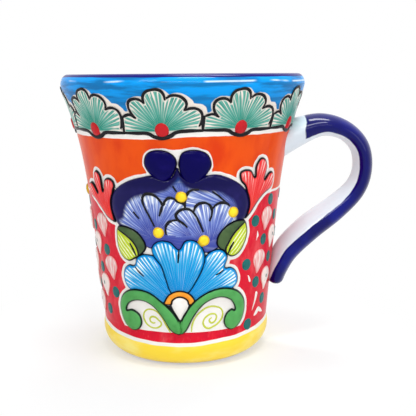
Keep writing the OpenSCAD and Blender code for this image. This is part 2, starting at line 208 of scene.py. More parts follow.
# Lattice at the sides: two slanting steps, the cells with a raised petal and the spots with a dot
STEP_A = np.array((5.8, -8.2))
STEP_B = np.array((-10.3, -8.3))
LATTICE_PETAL = [
    (0, 4.8), (-3, 4), (-4.4, 1.2), (-3.2, -2), (-1.9, -4.6), (0.6, -2.6), (3, -0.6), (4.1, 1.4),
    (2.6, 3.9),
]
PETAL_POINT = (-2.2, -5.4)
TICK_FAN = 0.33
PLAIN_PAST = {1: 40.4, -1: 36}
LATTICE_CHIPS = [
    [(33.1, 51.6), (33.9, 49.7), (33.2, 48.8), (32.5, 47.8), (32.7, 49.7)],
    [(28.1, 34.7), (28.9, 34), (29.7, 32.2), (29, 31.8), (28.4, 33)],
    [(33.2, 26.8), (34.6, 26), (33.6, 23.4), (31, 19.4), (32.4, 23.4)],
    [
        (32.4, 16.9), (33.6, 18.6), (35.6, 19.9), (38, 18.6), (39.6, 16.8), (37.4, 17.2), (35.8, 17.9),
        (34.6, 17),
    ],
]
RIGHT_CELL = np.array((35.3, 39))
RIGHT_STEPS = [(-1, -1), (0, -1), (0, 0), (1, 0), (1, -1), (2, 0)]
LEFT_CELL = np.array((36.8, 29))
LEFT_STEPS = [(0, 0), (-1, 0), (-1, -1), (-2, -1), (0, -1), (1, 0), (-1, -2), (1, -1)]
RIGHT_DOT = np.array((37.5, 47.5))
LEFT_DOT = np.array((38.8, 36))
DOT_R = 2.3
DOT_TOP = 62.8
DOT_LOW = 12.4
DOT_LOW_PAST = 26
LATTICE_PETAL_R = 4.6
LATTICE_TOP = 0.75
LATTICE_ROLL = 1.8
LATTICE_CELL = 0.36
DOT_RISE = 0.22
DOT_ROLL = 0.7
DOT_CELL = 0.5
CHIP_RISE = 0.14
CHIP_ROLL = 0.4
CHIP_CELL = 0.3

# Rim flowers: angles round the mug, and one flower drawn about the middle of its red heart
RIM_FRONT = [-44, -6.5, 31, 68.5]
RIM_PITCH = 37.5
RIM_PAST_PITCH = 34.08
RIM_PAST = [111.5 + RIM_PAST_PITCH * i for i in range(6)]
RIM_LIFTS = [(0, -0.4, -0.2), (-0.1, 0, 0.8), (0.9, 0.6, 0.5), (0.6, 0.7, 0.2)]
RIM_Z = 91.1
RIM_HEART_R = 2.6
HEART_RISE = 0.95
HEART_ROLL = 1.8
HEART_CELL = 0.4
SKY_ASIDE = 0.9
RIM_SCALLOPS = [
    [(-14.2, 89.8), (-14.2, 95.4), (-13.2, 95.9), (-11.3, 96.3), (-9.4, 95.2)],
    [(-9.0, 95), (-11, 97.5), (-11.5, 99.2), (-11, 100.8), (-9.2, 101.7), (-7.1, 101.5), (-5.4, 100.2)],
    [(-5.4, 100.2), (-5.6, 102.3), (-4.6, 104), (-2.5, 104.8), (-0.4, 104.9), (1.2, 103.8), (1.9, 101.3)],
    [(2.3, 101.9), (3.7, 102.8), (5.8, 102.9), (7.9, 101.9), (9, 100), (8.1, 97.7)],
    [(8.3, 97.9), (10.4, 98.5), (12.5, 98.3), (13.8, 97.3), (14.2, 95.6), (13.9, 93.6), (12.9, 91.5)],
]
RIM_POST = [(-14.2, 95.8), (-14.3, 92.5), (-14.1, 89.8)]
RIM_ROOT = (0, 90.5)
RIM_CELL = 0.45
RIM_FILM = 0.08
RIM_TOP = 0.3
RIM_ROLL = 2.5
RIM_INK_RISE = 0.25
SKY_REACH = 5.8
SKY_CLEAR = ([96, 100, 104.6], [1.0, 1.8, 0.4])
BELT_Z = 90
BELT_SIDE = [(9, BELT_Z), (4.8, 89.8), (3, 88.8)]
BELT_DIP = (0, 88.2)
BELT_LAP = 1.02
BELT_HALF = 0.7
POST_HALF = 0.62
SCALLOP_HALF = 0.52

# Each rim flower as (angle, width, how far it is lifted left of its heart, at it and right of it)
RIM_PLACES = [(a, 1.0, lifts) for a, lifts in zip(RIM_FRONT, RIM_LIFTS)]
RIM_PLACES += [(a, RIM_PAST_PITCH / RIM_PITCH, (0, 0, 0)) for a in RIM_PAST]

# Middle of the handle's strap as (share of the way out, share of the height between the roots)
HANDLE_LINE = [
    (-0.12, 0.965), (0.09, 1.025), (0.38, 1.075), (0.68, 1.035), (0.91, 0.925), (1, 0.77), (0.95, 0.62),
    (0.74, 0.475), (0.45, 0.33), (0.21, 0.185), (0.1, 0.06), (0.045, -0.05),
]
HANDLE_TOP = 85.5
HANDLE_LOW = 28.5
HANDLE_OUT = 32
STRAP_T = 7.6
STRAP_W = 17
STRAP_ROUND = 1.08
STRAP_SIDES = 48
HANDLE_AT = 90
CLAY_GAP = 0.4
LOW_ROOT_HALF = 1.2 * STRAP_T
ROOT_T = 8
ROOT_W = 6
ROOT_SHARE = 0.32
ROOT_RINGS = 10
TIP_SHARE = 0.045
TIP_LEAST = 0.4

# The strap's lower run is fuller, mostly on its inner side
RUN_INNER = 0.68
RUN_OUTER = 0.14
RUN_AT = 0.74
RUN_HALF = 0.3


def wall_r(z):
    """Outer radius of the wall at a height."""
    t = np.maximum(0, (np.asarray(z, float) - FOOT_H) / (MUG_H - FLARE_END - FOOT_H))
    return FOOT_R + (RIM_R - FOOT_R - FLARE_OUT) * t + FLARE_OUT * t**FLARE_POWER


def smooth(line, closed, steps):
    """A smooth curve through all the points of a line."""
    pts = np.array(line, float)
    n = len(pts)
    out = []
    for i in range(n if closed else n - 1):
        ids = [i + k for k in (-1, 0, 1, 2)]
        p, q, r, s = (pts[k % n] if closed else pts[min(max(k, 0), n - 1)] for k in ids)
        for t in np.arange(steps) / steps:
            curl = (2 * p - 5 * q + 4 * r - s) * t * t
            twist = (3 * q - p - 3 * r + s) * t**3
            out.append(0.5 * (2 * q + (r - p) * t + curl + twist))
    if not closed:
        out.append(pts[-1])
    return np.array(out)


def arc(c, rx, rz, a, b, n):
    """Points of an elliptic arc about a centre."""
    t = np.radians(np.linspace(a, b, n))
    return [(c[0] + rx * math.cos(k), c[1] + rz * math.sin(k)) for k in t]


def outer_profile():
    """The outside of the vessel from the foot to the top of the lip."""
    foot = arc((FOOT_R + FOOT_ROLL - FOOT_ROUND, FOOT_ROUND), FOOT_ROUND, FOOT_ROUND, -90, 0, 14)
    waist = smooth([foot[-1], *WAIST], False, 4)[1:-1]
    wall = [(float(wall_r(z)), float(z)) for z in np.arange(WAIST[-1][1], LIP_Z, 0.6)]
    side = (LIP_C[0] + LIP_ROUND, LIP_C[1])
    tuck = (side[0] - LIP_TUCK[0], side[1] - LIP_TUCK[1])
    roll = smooth([wall[-2], wall[-1], tuck, side], False, 8)[9:-1]
    lip = arc(LIP_C, LIP_ROUND, LIP_RISE, 0, 90, 14)
    return foot + [tuple(p) for p in waist] + wall + [tuple(p) for p in roll] + lip


OUTSIDE = outer_profile()
OUT_Z = np.array([p[1] for p in OUTSIDE])
OUT_R = np.array([p[0] for p in OUTSIDE])


def outer_r(z):
    """Outer radius of the finished vessel, lip and foot included."""
    return np.interp(z, OUT_Z, OUT_R)


def wrapped(u, z, rise, turn=0.0):
    """Points laid on the outside of the vessel, in metres, rise millimetres proud of it."""
    proud = np.maximum(rise, 0)
    angle = u / (wall_r(np.minimum(z, LIP_Z)) + proud) + math.radians(turn)
    r = outer_r(z) + rise
    return np.stack([r * np.sin(angle), -r * np.cos(angle), z + PROUD_LIFT * proud], 1) * MM


def gap_to(points, line):
    """Distance from each point to a closed line, negative inside."""
    best = np.full(len(points), np.inf)
    inside = np.zeros(len(points), bool)
    for p, q in zip(line, np.roll(line, -1, axis=0)):
        e = q - p
        w = points - p
        t = np.clip(w @ e / max(e @ e, TINY), 0, 1)
        best = np.minimum(best, ((w - t[:, None] * e) ** 2).sum(1))
        if q[1] != p[1]:
            across = p[0] + (points[:, 1] - p[1]) * e[0] / e[1]
            inside ^= ((p[1] > points[:, 1]) != (q[1] > points[:, 1])) & (points[:, 0] < across)
    return np.where(inside, -1, 1) * np.sqrt(best)


def gap_to_path(points, line):
    """Distance from each point to an open line, positive on its left."""
    best = np.full(len(points), np.inf)
    side = np.ones(len(points))
    for p, q in zip(line[:-1], line[1:]):
        e = q - p
        w = points - p
        t = np.clip(w @ e / max(e @ e, TINY), 0, 1)
        d = ((w - t[:, None] * e) ** 2).sum(1)
        near = d < best
        side[near] = np.sign(e[0] * w[near, 1] - e[1] * w[near, 0])
        best = np.minimum(best, d)
    return side * np.sqrt(best)


def crown(edge, top, roll):
    """Height of a soft pad of clay at a distance from its outline."""
    t = np.clip(edge / roll, 0, 1)
    return top * np.sqrt(np.maximum(0, 1 - (1 - t) ** 2))


def stroke_values(points, outline, root):
    """How far along its brush stroke each point lies, 1 at the outline, and the direction of the stroke."""
    edges = np.roll(outline, -1, axis=0) - outline
    ring = np.concatenate([outline + edges * k / 8 for k in range(8)]) - root
    bins = np.linspace(-math.pi, math.pi, 361)
    place = np.digitize(np.arctan2(ring[:, 0], ring[:, 1]), bins)
    reach = np.zeros(len(bins) + 1)
    np.maximum.at(reach, place, np.hypot(ring[:, 0], ring[:, 1]))
    known = np.flatnonzero(reach)
    away = points - root
    fan = np.arctan2(away[:, 0], away[:, 1])
    limit = np.interp(fan, bins[known - 1], reach[known])
    return {"reach": np.hypot(away[:, 0], away[:, 1]) / limit, "fan": fan}


def deselect():
    bpy.ops.object.select_all(action="DESELECT")


def coords(ob):
    co = np.empty(len(ob.data.vertices) * 3)
    ob.data.vertices.foreach_get("co", co)
    return co.reshape(-1, 3)


def set_coords(ob, co):
    ob.data.vertices.foreach_set("co", np.ascontiguousarray(co, float).ravel())
    ob.data.update()


def give(ob, name, values):
    """A value for every point of a piece, for its paint."""
    layer = ob.data.attributes.new(name, "FLOAT", "POINT")
    layer.data.foreach_set("value", np.ascontiguousarray(values, float))


def only(ob):
    """Selects one piece and makes it the active one."""
    deselect()
    ob.select_set(True)
    bpy.context.view_layer.objects.active = ob


def turn_faces_out(ob):
    only(ob)
    bpy.ops.object.mode_set(mode="EDIT")
    bpy.ops.mesh.select_all(action="SELECT")
    bpy.ops.mesh.normals_make_consistent(inside=False)
    bpy.ops.object.mode_set(mode="OBJECT")


def joined(name, pieces):
    """Several pieces as one."""
    only(pieces[0])
    for ob in pieces[1:]:
        ob.select_set(True)
    if len(pieces) > 1:
        bpy.ops.object.join()
    ob = bpy.context.object
    ob.name = name
    ob.data.name = name
    return ob


def copy_of(ob):
    only(ob)
    bpy.ops.object.duplicate()
    return bpy.context.object


def on_both_faces(name, ob):
    """The piece and its copy on the far face."""
    twin = copy_of(ob)
    twin.rotation_euler = (0, 0, math.pi)
    bpy.ops.object.transform_apply(location=False, rotation=True, scale=False)
    return joined(name, [ob, twin])


def hand_in(ob, material, slot, *nodes):
    """Finish and body of a piece, and hides the part nodes that it stands for."""
    only(ob)
    bpy.ops.object.shade_smooth_by_angle(angle=math.radians(SMOOTH_ANGLE))
    ob.data.materials.clear()
    ob.data.materials.append(material)
    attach(ob, "root")
    if nodes:
        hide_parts(*nodes)


def thickened(ob, depth):
    """A flat piece extruded straight up into a closed slab."""
    only(ob)
    bpy.ops.object.mode_set(mode="EDIT")
    bpy.ops.mesh.select_all(action="SELECT")
    bpy.ops.mesh.extrude_region_move(TRANSFORM_OT_translate={"value": (0, 0, depth)})
    bpy.ops.object.mode_set(mode="OBJECT")
    turn_faces_out(ob)


def cut_slab(name, outline, cell):
    """A slab of clay rolled out as a fine grid and cut along an outline. Flat, front at 1 and back at 0."""
    low = outline.min(0) - SLAB_LOW
    high = outline.max(0) + SLAB_HIGH
    size = high - low
    deselect()
    cells = [max(3, int(s / cell)) for s in size]
    bpy.ops.mesh.primitive_grid_add(x_subdivisions=cells[0], y_subdivisions=cells[1], size=1)
    slab = bpy.context.object
    slab.name = name
    bpy.ops.object.mode_set(mode="EDIT")
    bpy.ops.mesh.select_all(action="SELECT")
    bpy.ops.transform.resize(value=(size[0], size[1], 1))
    bpy.ops.transform.translate(value=((low[0] + high[0]) / 2, (low[1] + high[1]) / 2, 0))
    bpy.ops.object.mode_set(mode="OBJECT")
    thickened(slab, 1)
    deselect()
    bpy.ops.mesh.primitive_circle_add(vertices=len(outline), fill_type="NGON")
    cutter = bpy.context.object
    set_coords(cutter, np.column_stack([outline, np.full(len(outline), -1.0)]))
    thickened(cutter, 3)
    only(slab)
    cut = slab.modifiers.new("cut", "BOOLEAN")
    cut.operation = "INTERSECT"
    cut.solver = "EXACT"
    cut.object = cutter
    bpy.ops.object.modifier_apply(modifier=cut.name)
    bpy.data.objects.remove(cutter)
    return slab


LINES["arch"] = arc(ARCH_AT, ARCH_OUT, ARCH_OUT, 175, 5, 11) + arc(ARCH_AT, ARCH_IN, ARCH_IN, 5, 175, 6)
OUTLINES = {key: smooth(line, True, 6) for key, line in LINES.items()}
RIM_OUTLINE = np.concatenate([smooth(s, False, 5) for s in RIM_SCALLOPS] + [np.array([(13.2, 89.8)])])

# Which pads lie over the edge of a pad
OVER = {
    "pansy": ("petal_left", "petal_middle", "petal_right", "leaf_left", "leaf_right"),
    "lobe_right": ("lobe_left",),
    "petal_left": ("petal_middle", "scroll_left", "arch"),
    "petal_middle": ("arch",),
    "petal_right": ("petal_middle", "scroll_right", "arch"),
    "leaf_left": ("petal_left",),
    "leaf_right": ("petal_right",),
    "bud_left": ("pansy", "leaf_left"),
    "bud_right": ("pansy", "leaf_right"),
    "scroll_right": ("scroll_left",),
    "arch": ("scroll_left", "scroll_right"),
    "drop": ("arch", "scroll_left", "scroll_right"),
}


def pad_form(key, points):
    """Height of a pad over the wall, and the distance to its edge or to a pad that lies over it."""
    plump = key.startswith("lobe")
    top = LOBE_TOP if plump else PAD_TOP
    roll = LOBE_ROLL if plump else PAD_ROLL
    edge = -gap_to(points, OUTLINES[key])
    rise = crown(edge, top, roll)
    for other in OVER.get(key, ()):
        gap = gap_to(points, OUTLINES[other])
        rise = np.minimum(rise, SEAM + crown(gap, top, roll))
        edge = np.minimum(edge, gap + SEAM_LINE)
    return rise, np.maximum(0, edge)


def seated(co, rise):
    """Rise of a slab over the wall: as given at its front, and its back let into the wall."""
    return np.where(co[:, 2] > 0.5, rise, -BACK_IN)


def pad(key, root=None, groove=None, extra=None):
    """One relief pad on the wall, with what its paint reads of the outline and the brush strokes."""
    ob = cut_slab(key + "_relief", OUTLINES[key], FINE_CELL)
    co = coords(ob)
    flat = co[:, :2]
    rise, edge = pad_form(key, flat)
    if groove is not None:
        rise = rise - groove(flat)
    set_coords(ob, wrapped(flat[:, 0], flat[:, 1], seated(co, rise)))
    values = {"edge": edge}
    if root is not None:
        values.update(stroke_values(flat, OUTLINES[key], root))
    if extra is not None:
        values.update(extra(flat))
    for name, numbers in values.items():
        give(ob, name, numbers)
    return ob


def motif_slab(name, outline, cell, root=None):
    """A cut slab and the distance of its points to the edge, with what its paint reads."""
    slab = cut_slab(name, outline, cell)
    flat = coords(slab)[:, :2]
    edge = np.maximum(0, -gap_to(flat, outline))
    give(slab, "edge", edge)
    if root is not None:
        for key, numbers in stroke_values(flat, outline, root).items():
            give(slab, key, numbers)
    return slab, edge


def stamped(name, line, spots, top, roll, cell, root=None):
    """A pad cut out once and pressed on at every spot: along the wall, height, turn of the mug, side."""
    slab, edge = motif_slab(name, smooth(line, True, 6), cell, root)
    co = coords(slab)
    flat = co[:, :2]
    rise = seated(co, crown(edge, top, roll))
    copies = []
    for u, z, turn, side in spots:
        one = copy_of(slab)
        set_coords(one, wrapped(side * flat[:, 0] + u, flat[:, 1] + z, rise, turn))
        if side < 0:
            turn_faces_out(one)
        copies.append(one)
    bpy.data.objects.remove(slab)
    return joined(name, copies)


def relief_at(points):
    """Height of the highest pad under each point of the panel."""
    best = np.zeros(len(points))
    for key, outline in OUTLINES.items():
        best = np.maximum(best, np.where(gap_to(points, outline) < 0, pad_form(key, points)[0], 0))
    return best


def brush_lines(name, strokes, half=INK_HALF, sway=0.12):
    """Brush strokes as tubes along smooth curves, thinner at their ends. Flat, in millimetres."""
    deselect()
    bpy.ops.curve.primitive_bezier_curve_add()
    ob = bpy.context.object
    ob.name = name
    path = ob.data
    path.splines.clear()
    path.dimensions = "3D"
    path.resolution_u = 5
    path.bevel_depth = 1
    path.bevel_resolution = 2
    path.use_fill_caps = True
    for stroke in strokes:
        spline = path.splines.new("BEZIER")
        spline.bezier_points.add(len(stroke) - 1)
        for i, (knot, p) in enumerate(zip(spline.bezier_points, stroke)):
            knot.co = (p[0], p[1], 0)
            knot.handle_left_type = "AUTO"
            knot.handle_right_type = "AUTO"
            swell = 1.0 + sway * math.sin(2.3 * i + p[0])
            knot.radius = half * (STROKE_END if i in (0, len(stroke) - 1) else swell)
    only(ob)
    bpy.ops.object.convert(target="MESH")
    return bpy.context.object


def laid(ob, rise, turn=0.0, stretch=1.0):
    """Lays flat brush strokes on the wall, pressed nearly flat, on a surface of a given height."""
    co = coords(ob)
    flat = co[:, :2]
    set_coords(ob, wrapped(flat[:, 0] * stretch, flat[:, 1], rise(flat) + co[:, 2] * INK_FLAT, turn))
    return ob


def on_bare_wall(points):
    return np.zeros(len(points))


def on_rim(points):
    return np.full(len(points), RIM_INK_RISE)


# Glazes


def linear(channel):
    """One channel of a colour as seen on screen, 0 to 255, as a linear one."""
    c = channel / 255
    return c / 12.92 if c <= 0.04045 else ((c + 0.055) / 1.055) ** 2.4


def srgb(r, g, b):
    return (linear(r), linear(g), linear(b), 1)


WHITE = srgb(240, 237, 232)
CREAM = srgb(232, 222, 212)
INK = srgb(22, 22, 26)
RED = srgb(216, 14, 44)
RED_DEEP = srgb(196, 8, 44)
RED_PALE = srgb(232, 88, 92)
ORANGE = srgb(232, 80, 4)
ORANGE_DEEP = srgb(218, 58, 2)
YELLOW = srgb(254, 222, 66)
YELLOW_PALE = srgb(255, 238, 136)
SKY = srgb(0, 154, 238)
SKY_DEEP = srgb(6, 112, 176)
SEAM_SHADE = srgb(30, 32, 40)
NAVY = srgb(14, 10, 106)
NAVY_DEEP = srgb(14, 8, 66)
CLAY = srgb(176, 112, 78)


class Glaze:
    """A glossy painted glaze, built up layer on layer from the values of a piece."""

    def __init__(self, name, first, coat=0.22):
        self.material = bpy.data.materials.new(name)
        self.material.use_nodes = True
        self.tree = self.material.node_tree
        self.shader = self.tree.nodes["Principled BSDF"]
        self.shader.inputs["Roughness"].default_value = 0.3
        self.shader.inputs["Coat Weight"].default_value = coat
        self.shader.inputs["Coat Roughness"].default_value = 0.06
        self.shader.inputs["Specular IOR Level"].default_value = 0.03
        self.place = self.tree.nodes.new("ShaderNodeTexCoord").outputs["Object"]
        self.colour = first

    def put(self, socket, value):
        if isinstance(value, bpy.types.NodeSocket):
            self.tree.links.new(value, socket)
        else:
            socket.default_value = value

    def value(self, name):
        node = self.tree.nodes.new("ShaderNodeAttribute")
        node.attribute_name = name
        return node.outputs["Fac"]

    def sum(self, how, a, b=0.0):
        node = self.tree.nodes.new("ShaderNodeMath")
        node.operation = how
        self.put(node.inputs[0], a)
        self.put(node.inputs[1], b)
        return node.outputs[0]

    def vector(self, x, y, z=0.0):
        node = self.tree.nodes.new("ShaderNodeCombineXYZ")
        for socket, value in zip(node.inputs, (x, y, z)):
            self.put(socket, value)
        return node.outputs[0]

    def noise(self, scale, stretch=(1, 1, 1), detail=2.0, at=None):
        """Soft noise, 0 to 1. Scale counts patches in a metre, or in a unit of the given vector."""
        turn = self.tree.nodes.new("ShaderNodeMapping")
        turn.inputs["Scale"].default_value = stretch
        self.put(turn.inputs["Vector"], self.place if at is None else at)
        node = self.tree.nodes.new("ShaderNodeTexNoise")
        node.inputs["Scale"].default_value = scale
        node.inputs["Detail"].default_value = detail
        self.tree.links.new(turn.outputs[0], node.inputs["Vector"])
        return node.outputs["Fac"]

    def ramp(self, value, low, high, to_low=0.0, to_high=1.0):
        """A smooth step from low to high."""
        node = self.tree.nodes.new("ShaderNodeMapRange")
        node.interpolation_type = "SMOOTHSTEP"
        self.put(node.inputs["Value"], value)
        node.inputs["From Min"].default_value = low
        node.inputs["From Max"].default_value = high
        node.inputs["To Min"].default_value = to_low
        node.inputs["To Max"].default_value = to_high
        return node.outputs[0]

    def above(self, value, limit, soft=0.15):
        """1 where a value is above a limit."""
        return self.ramp(value, limit - soft, limit + soft)

    def below(self, value, limit, soft=0.15):
        """1 where a value is below a limit."""
        return self.ramp(value, limit - soft, limit + soft, 1.0, 0.0)

    def mixed(self, factor, a, b):
        node = self.tree.nodes.new("ShaderNodeMix")
        node.data_type = "RGBA"
        self.put(node.inputs["Factor"], factor)
        self.put(node.inputs[6], a)
        self.put(node.inputs[7], b)
        return node.outputs[2]

    def coat_of(self, factor, colour):
        """One more layer of colour where factor is 1."""
        self.colour = self.mixed(factor, self.colour, colour)

    def mottle(self, scale, colour, low=0.45, high=0.75, most=0.6, detail=2.0):
        """Cloudy patches of another colour."""
        self.coat_of(self.ramp(self.noise(scale, detail=detail), low, high, 0.0, most), colour)

    def times(self, *factors):
        out = factors[0]
        for f in factors[1:]:
            out = self.sum("MULTIPLY", out, f)
        return out

    def wobbled(self, value, amount, scale):
        """A value whose edge wanders like a brush edge."""
        off = self.sum("SUBTRACT", self.noise(scale), 0.5)
        return self.sum("ADD", value, self.sum("MULTIPLY", off, 2 * amount))

    def done(self, bump=0.02, bump_scale=260.0):
        self.put(self.shader.inputs["Base Color"], self.colour)
        node = self.tree.nodes.new("ShaderNodeBump")
        node.inputs["Strength"].default_value = 0.35
        node.inputs["Distance"].default_value = bump * MM
        self.tree.links.new(self.noise(bump_scale, detail=3.0), node.inputs["Height"])
        self.tree.links.new(node.outputs[0], self.shader.inputs["Normal"])
        return self.material


def outlined(glaze, width, colour=INK, where=1.0):
    """The dark line along the outline of a pad."""
    edge = glaze.wobbled(glaze.value("edge"), 0.12, 420.0)
    glaze.coat_of(glaze.times(glaze.ramp(edge, width - 0.12, width + 0.14, 1.0, 0.0), where), colour)


def strokes(glaze, count, start, full, cover, soft=0.03):
    """Brush strokes along the fan of a motif: none before start, then wider and wider as far as full."""
    at = glaze.vector(glaze.sum("MULTIPLY", glaze.value("fan"), count), glaze.value("reach"))
    grain = glaze.noise(1.0, (1, 1.3, 1), 1.0, at)
    need = glaze.ramp(glaze.value("reach"), start, full, 0.78, cover)
    return glaze.ramp(glaze.sum("SUBTRACT", grain, need), -soft, soft)


def bristles(glaze, count, start, full, least, soft=0.25, uneven=0.7):
    """Pale strokes side by side along the fan of a motif, each with its own start, widest at the edge."""
    fan = glaze.value("fan")
    reach = glaze.value("reach")
    at = glaze.vector(glaze.sum("MULTIPLY", fan, count / 3), reach)
    sway = glaze.sum("MULTIPLY", glaze.noise(1.0, (1, 1.5, 1), 1.0, at), 7.0)
    wave = glaze.sum("SINE", glaze.sum("ADD", glaze.sum("MULTIPLY", fan, count), sway))
    off = glaze.sum("SUBTRACT", glaze.noise(1.0, (1.7, 0, 1), 1.0, at), 0.5)
    own_reach = glaze.sum("ADD", reach, glaze.sum("MULTIPLY", off, uneven))
    need = glaze.ramp(own_reach, start, full, 1.1, least)
    return glaze.ramp(glaze.sum("SUBTRACT", wave, need), -soft, soft)


def lip_blue(g, high):
    """Brushed blue of the lip, deeper low down, with a broken pale line under the edge that is a painted
    highlight.
    """
    brush = g.noise(60.0, (1, 1, 9), 4.0)
    blue = g.mixed(g.ramp(brush, 0.42, 0.62), SKY, SKY_DEEP)
    blue = g.mixed(g.ramp(high, 97.0, 106.0, 0.9, 0.0), blue, SKY_DEEP)
    # Painted highlight: a pale broken line along the lip's roll, where the lamps would glint
    drift = g.sum("MULTIPLY", g.noise(24.0, (1, 1, 0), 1.0), 3.0)
    highlight_gap = g.sum("ABSOLUTE", g.sum("SUBTRACT", g.sum("ADD", high, drift), LIP_HIGHLIGHT_Z))
    broken = g.ramp(g.noise(55.0, (1, 1, 0)), 0.47, 0.57)
    narrow = g.times(g.ramp(highlight_gap, 0.12, 0.42, 1.0, 0.0), broken)
    return g.mixed(g.times(narrow, 0.75), blue, srgb(226, 240, 248))


def make_vessel_glaze():
    g = Glaze("painted_ground", WHITE)
    high = g.value("high")
    band = g.value("band")
    inner = g.value("inner")
    foot = g.wobbled(g.value("foot"), 0.5, 100.0)
    meet = g.wobbled(high, 0.6, 160.0)
    painted = g.above(g.wobbled(g.wobbled(g.value("halo"), 0.4, 300.0), 0.4, 110.0), HALO)
    wash = g.noise(130.0, (1, 1, 0.5), 4.0)
    red = g.mixed(g.ramp(wash, 0.52, 0.75, 0.0, 0.75), RED, RED_PALE)
    red = g.mixed(g.ramp(g.noise(900.0, (1, 1, 0.4)), 0.55, 0.8, 0.0, 0.35), red, RED_PALE)
    red = g.mixed(g.ramp(g.noise(420.0, (1, 1, 0.5)), 0.5, 0.75, 0.0, 0.6), red, RED_DEEP)
    g.coat_of(g.times(painted, g.below(meet, RED_TOP), g.above(foot, FOOT_WHITE, 0.1)), red)
    orange = g.mixed(g.ramp(wash, 0.35, 0.7), ORANGE, ORANGE_DEEP)
    field = g.times(g.above(meet, ORANGE_LOW), g.below(g.wobbled(band, 0.3, 200.0), ORANGE_TOP))
    g.coat_of(g.times(painted, field), orange)
    g.coat_of(g.below(g.value("seam"), 0), SEAM_SHADE)
    yellow = g.mixed(g.ramp(g.noise(60.0, (1, 1, 2.5), 3.0), 0.48, 0.78), YELLOW, YELLOW_PALE)
    g.coat_of(g.below(foot, 0, 0.12), yellow)
    g.coat_of(g.above(band, CREAM_LOW, 0.2), CREAM)
    sky = g.above(g.wobbled(g.value("sky"), 0.5, 330.0), 0)
    g.coat_of(g.times(sky, g.above(g.wobbled(high, 0.5, 240.0), SKY_LOW, 0.2)), lip_blue(g, high))
    milk = g.mixed(g.ramp(g.noise(45.0, detail=4.0), 0.4, 0.75, 0.0, 0.5), WHITE, CREAM)
    g.coat_of(g.ramp(inner, 0.02, 0.1), milk)
    inner_lip = g.above(g.wobbled(high, 0.5, 90.0), INNER_NAVY_LOW, 0.2)
    g.coat_of(g.times(g.ramp(inner, 0.0, 0.02), inner_lip), NAVY)
    g.coat_of(g.above(g.wobbled(high, 0.35, 60.0), LIP_NAVY_LOW, 0.1), NAVY)
    g.coat_of(g.below(g.wobbled(high, 0.3, 200.0), CLAY_TOP), CLAY)
    return g.done()


def spun(name, profile, steps):
    """A closed body: the profile is drawn point by point, then spun once round the axis."""
    deselect()
    bpy.ops.mesh.primitive_plane_add(size=1)
    ob = bpy.context.object
    ob.name = name
    bpy.ops.object.mode_set(mode="EDIT")
    bpy.ops.mesh.select_all(action="SELECT")
    bpy.ops.mesh.merge(type="CENTER")
    bpy.ops.transform.translate(value=(profile[0][0] * MM, 0, profile[0][1] * MM))
    for (r0, z0), (r1, z1) in zip(profile, profile[1:]):
        step = ((r1 - r0) * MM, 0, (z1 - z0) * MM)
        bpy.ops.mesh.extrude_region_move(TRANSFORM_OT_translate={"value": step})
    bpy.ops.mesh.select_all(action="SELECT")
    bpy.ops.mesh.spin(steps=steps, angle=2 * math.pi, center=(0, 0, 0), axis=(0, 0, 1))
    bpy.ops.mesh.select_all(action="SELECT")
    bpy.ops.mesh.remove_doubles(threshold=0.00001)
    bpy.ops.mesh.normals_make_consistent(inside=False)
    bpy.ops.object.mode_set(mode="OBJECT")
    return ob


def vessel_profile():
    """Section of the vessel, from the middle of the base over the lip to the middle of the floor."""
    corner_z = FLOOR_T + FLOOR_ROUND
    inner_lip = arc(LIP_C, WALL_T - LIP_ROUND, LIP_RISE, 90, 180, 10)[1:]
    inside = [(float(wall_r(z)) - WALL_T, float(z)) for z in np.linspace(LIP_Z, corner_z, 44)]
    corner_c = (float(wall_r(corner_z)) - WALL_T - FLOOR_ROUND, corner_z)
    corner = arc(corner_c, FLOOR_ROUND, FLOOR_ROUND, 0, -90, 8)[1:]
    base = [(r, 0) for r in (0, 6, 12, 18)]
    floor = [(r, FLOOR_T) for r in (16, 10, 5, 0)]
    return base + OUTSIDE + inner_lip + inside + corner + floor


def unrolled(angle, high, turn):
    """Points of the vessel as (along the wall from a turn of the mug, height)."""
    off = (angle - math.radians(turn) + math.pi) % (2 * math.pi) - math.pi
    return np.column_stack([off * wall_r(np.minimum(high, LIP_Z)), high])


def lower_to_gap(values, flat, outline, reach, more=0):
    """Lowers the values near an outline to the distance from it."""
    near = ((flat > outline.min(0) - reach) & (flat < outline.max(0) + reach)).all(1)
    values[near] = np.minimum(values[near], gap_to(flat[near], outline) + more)


def halo_and_seam(angle, high):
    """Distance from the motifs and white grounds of both panels, and from the seams between the pads."""
    halo = np.full(len(high), FAR_OFF)
    seam = np.full(len(high), FAR_OFF)
    grounds = [(smooth(line, True, 4), 0) for line in BAYS]
    grounds.append((np.array(LOBE_NOTCH), LOBE_HALO_LESS))
    for key, outline in OUTLINES.items():
        grounds.append((outline, LOBE_HALO_LESS if key.startswith("lobe") else 0))
    for face in FACES:
        flat = unrolled(angle, high, face)
        for outline, less in grounds:
            lower_to_gap(halo, flat, outline, 4, less)
        for outline in [*OUTLINES.values(), np.array(DROP_SEAT)]:
            lower_to_gap(seam, flat, outline, 1)
    return np.where(high < HALO_LOW, np.maximum(halo, (HALO_LOW - high) * 4), halo), seam


def sky_gap(angle, high):
    """Distance of the blue from the rim flowers, less the white that is left round them."""
    sky = np.full(len(high), FAR_OFF)
    for at, wide, _ in RIM_PLACES:
        flat = unrolled(angle, high, at)
        flat[:, 0] = flat[:, 0] / wide - SKY_ASIDE
        lower_to_gap(sky, flat, RIM_OUTLINE, SKY_REACH)
    return sky - np.interp(high, *SKY_CLEAR)


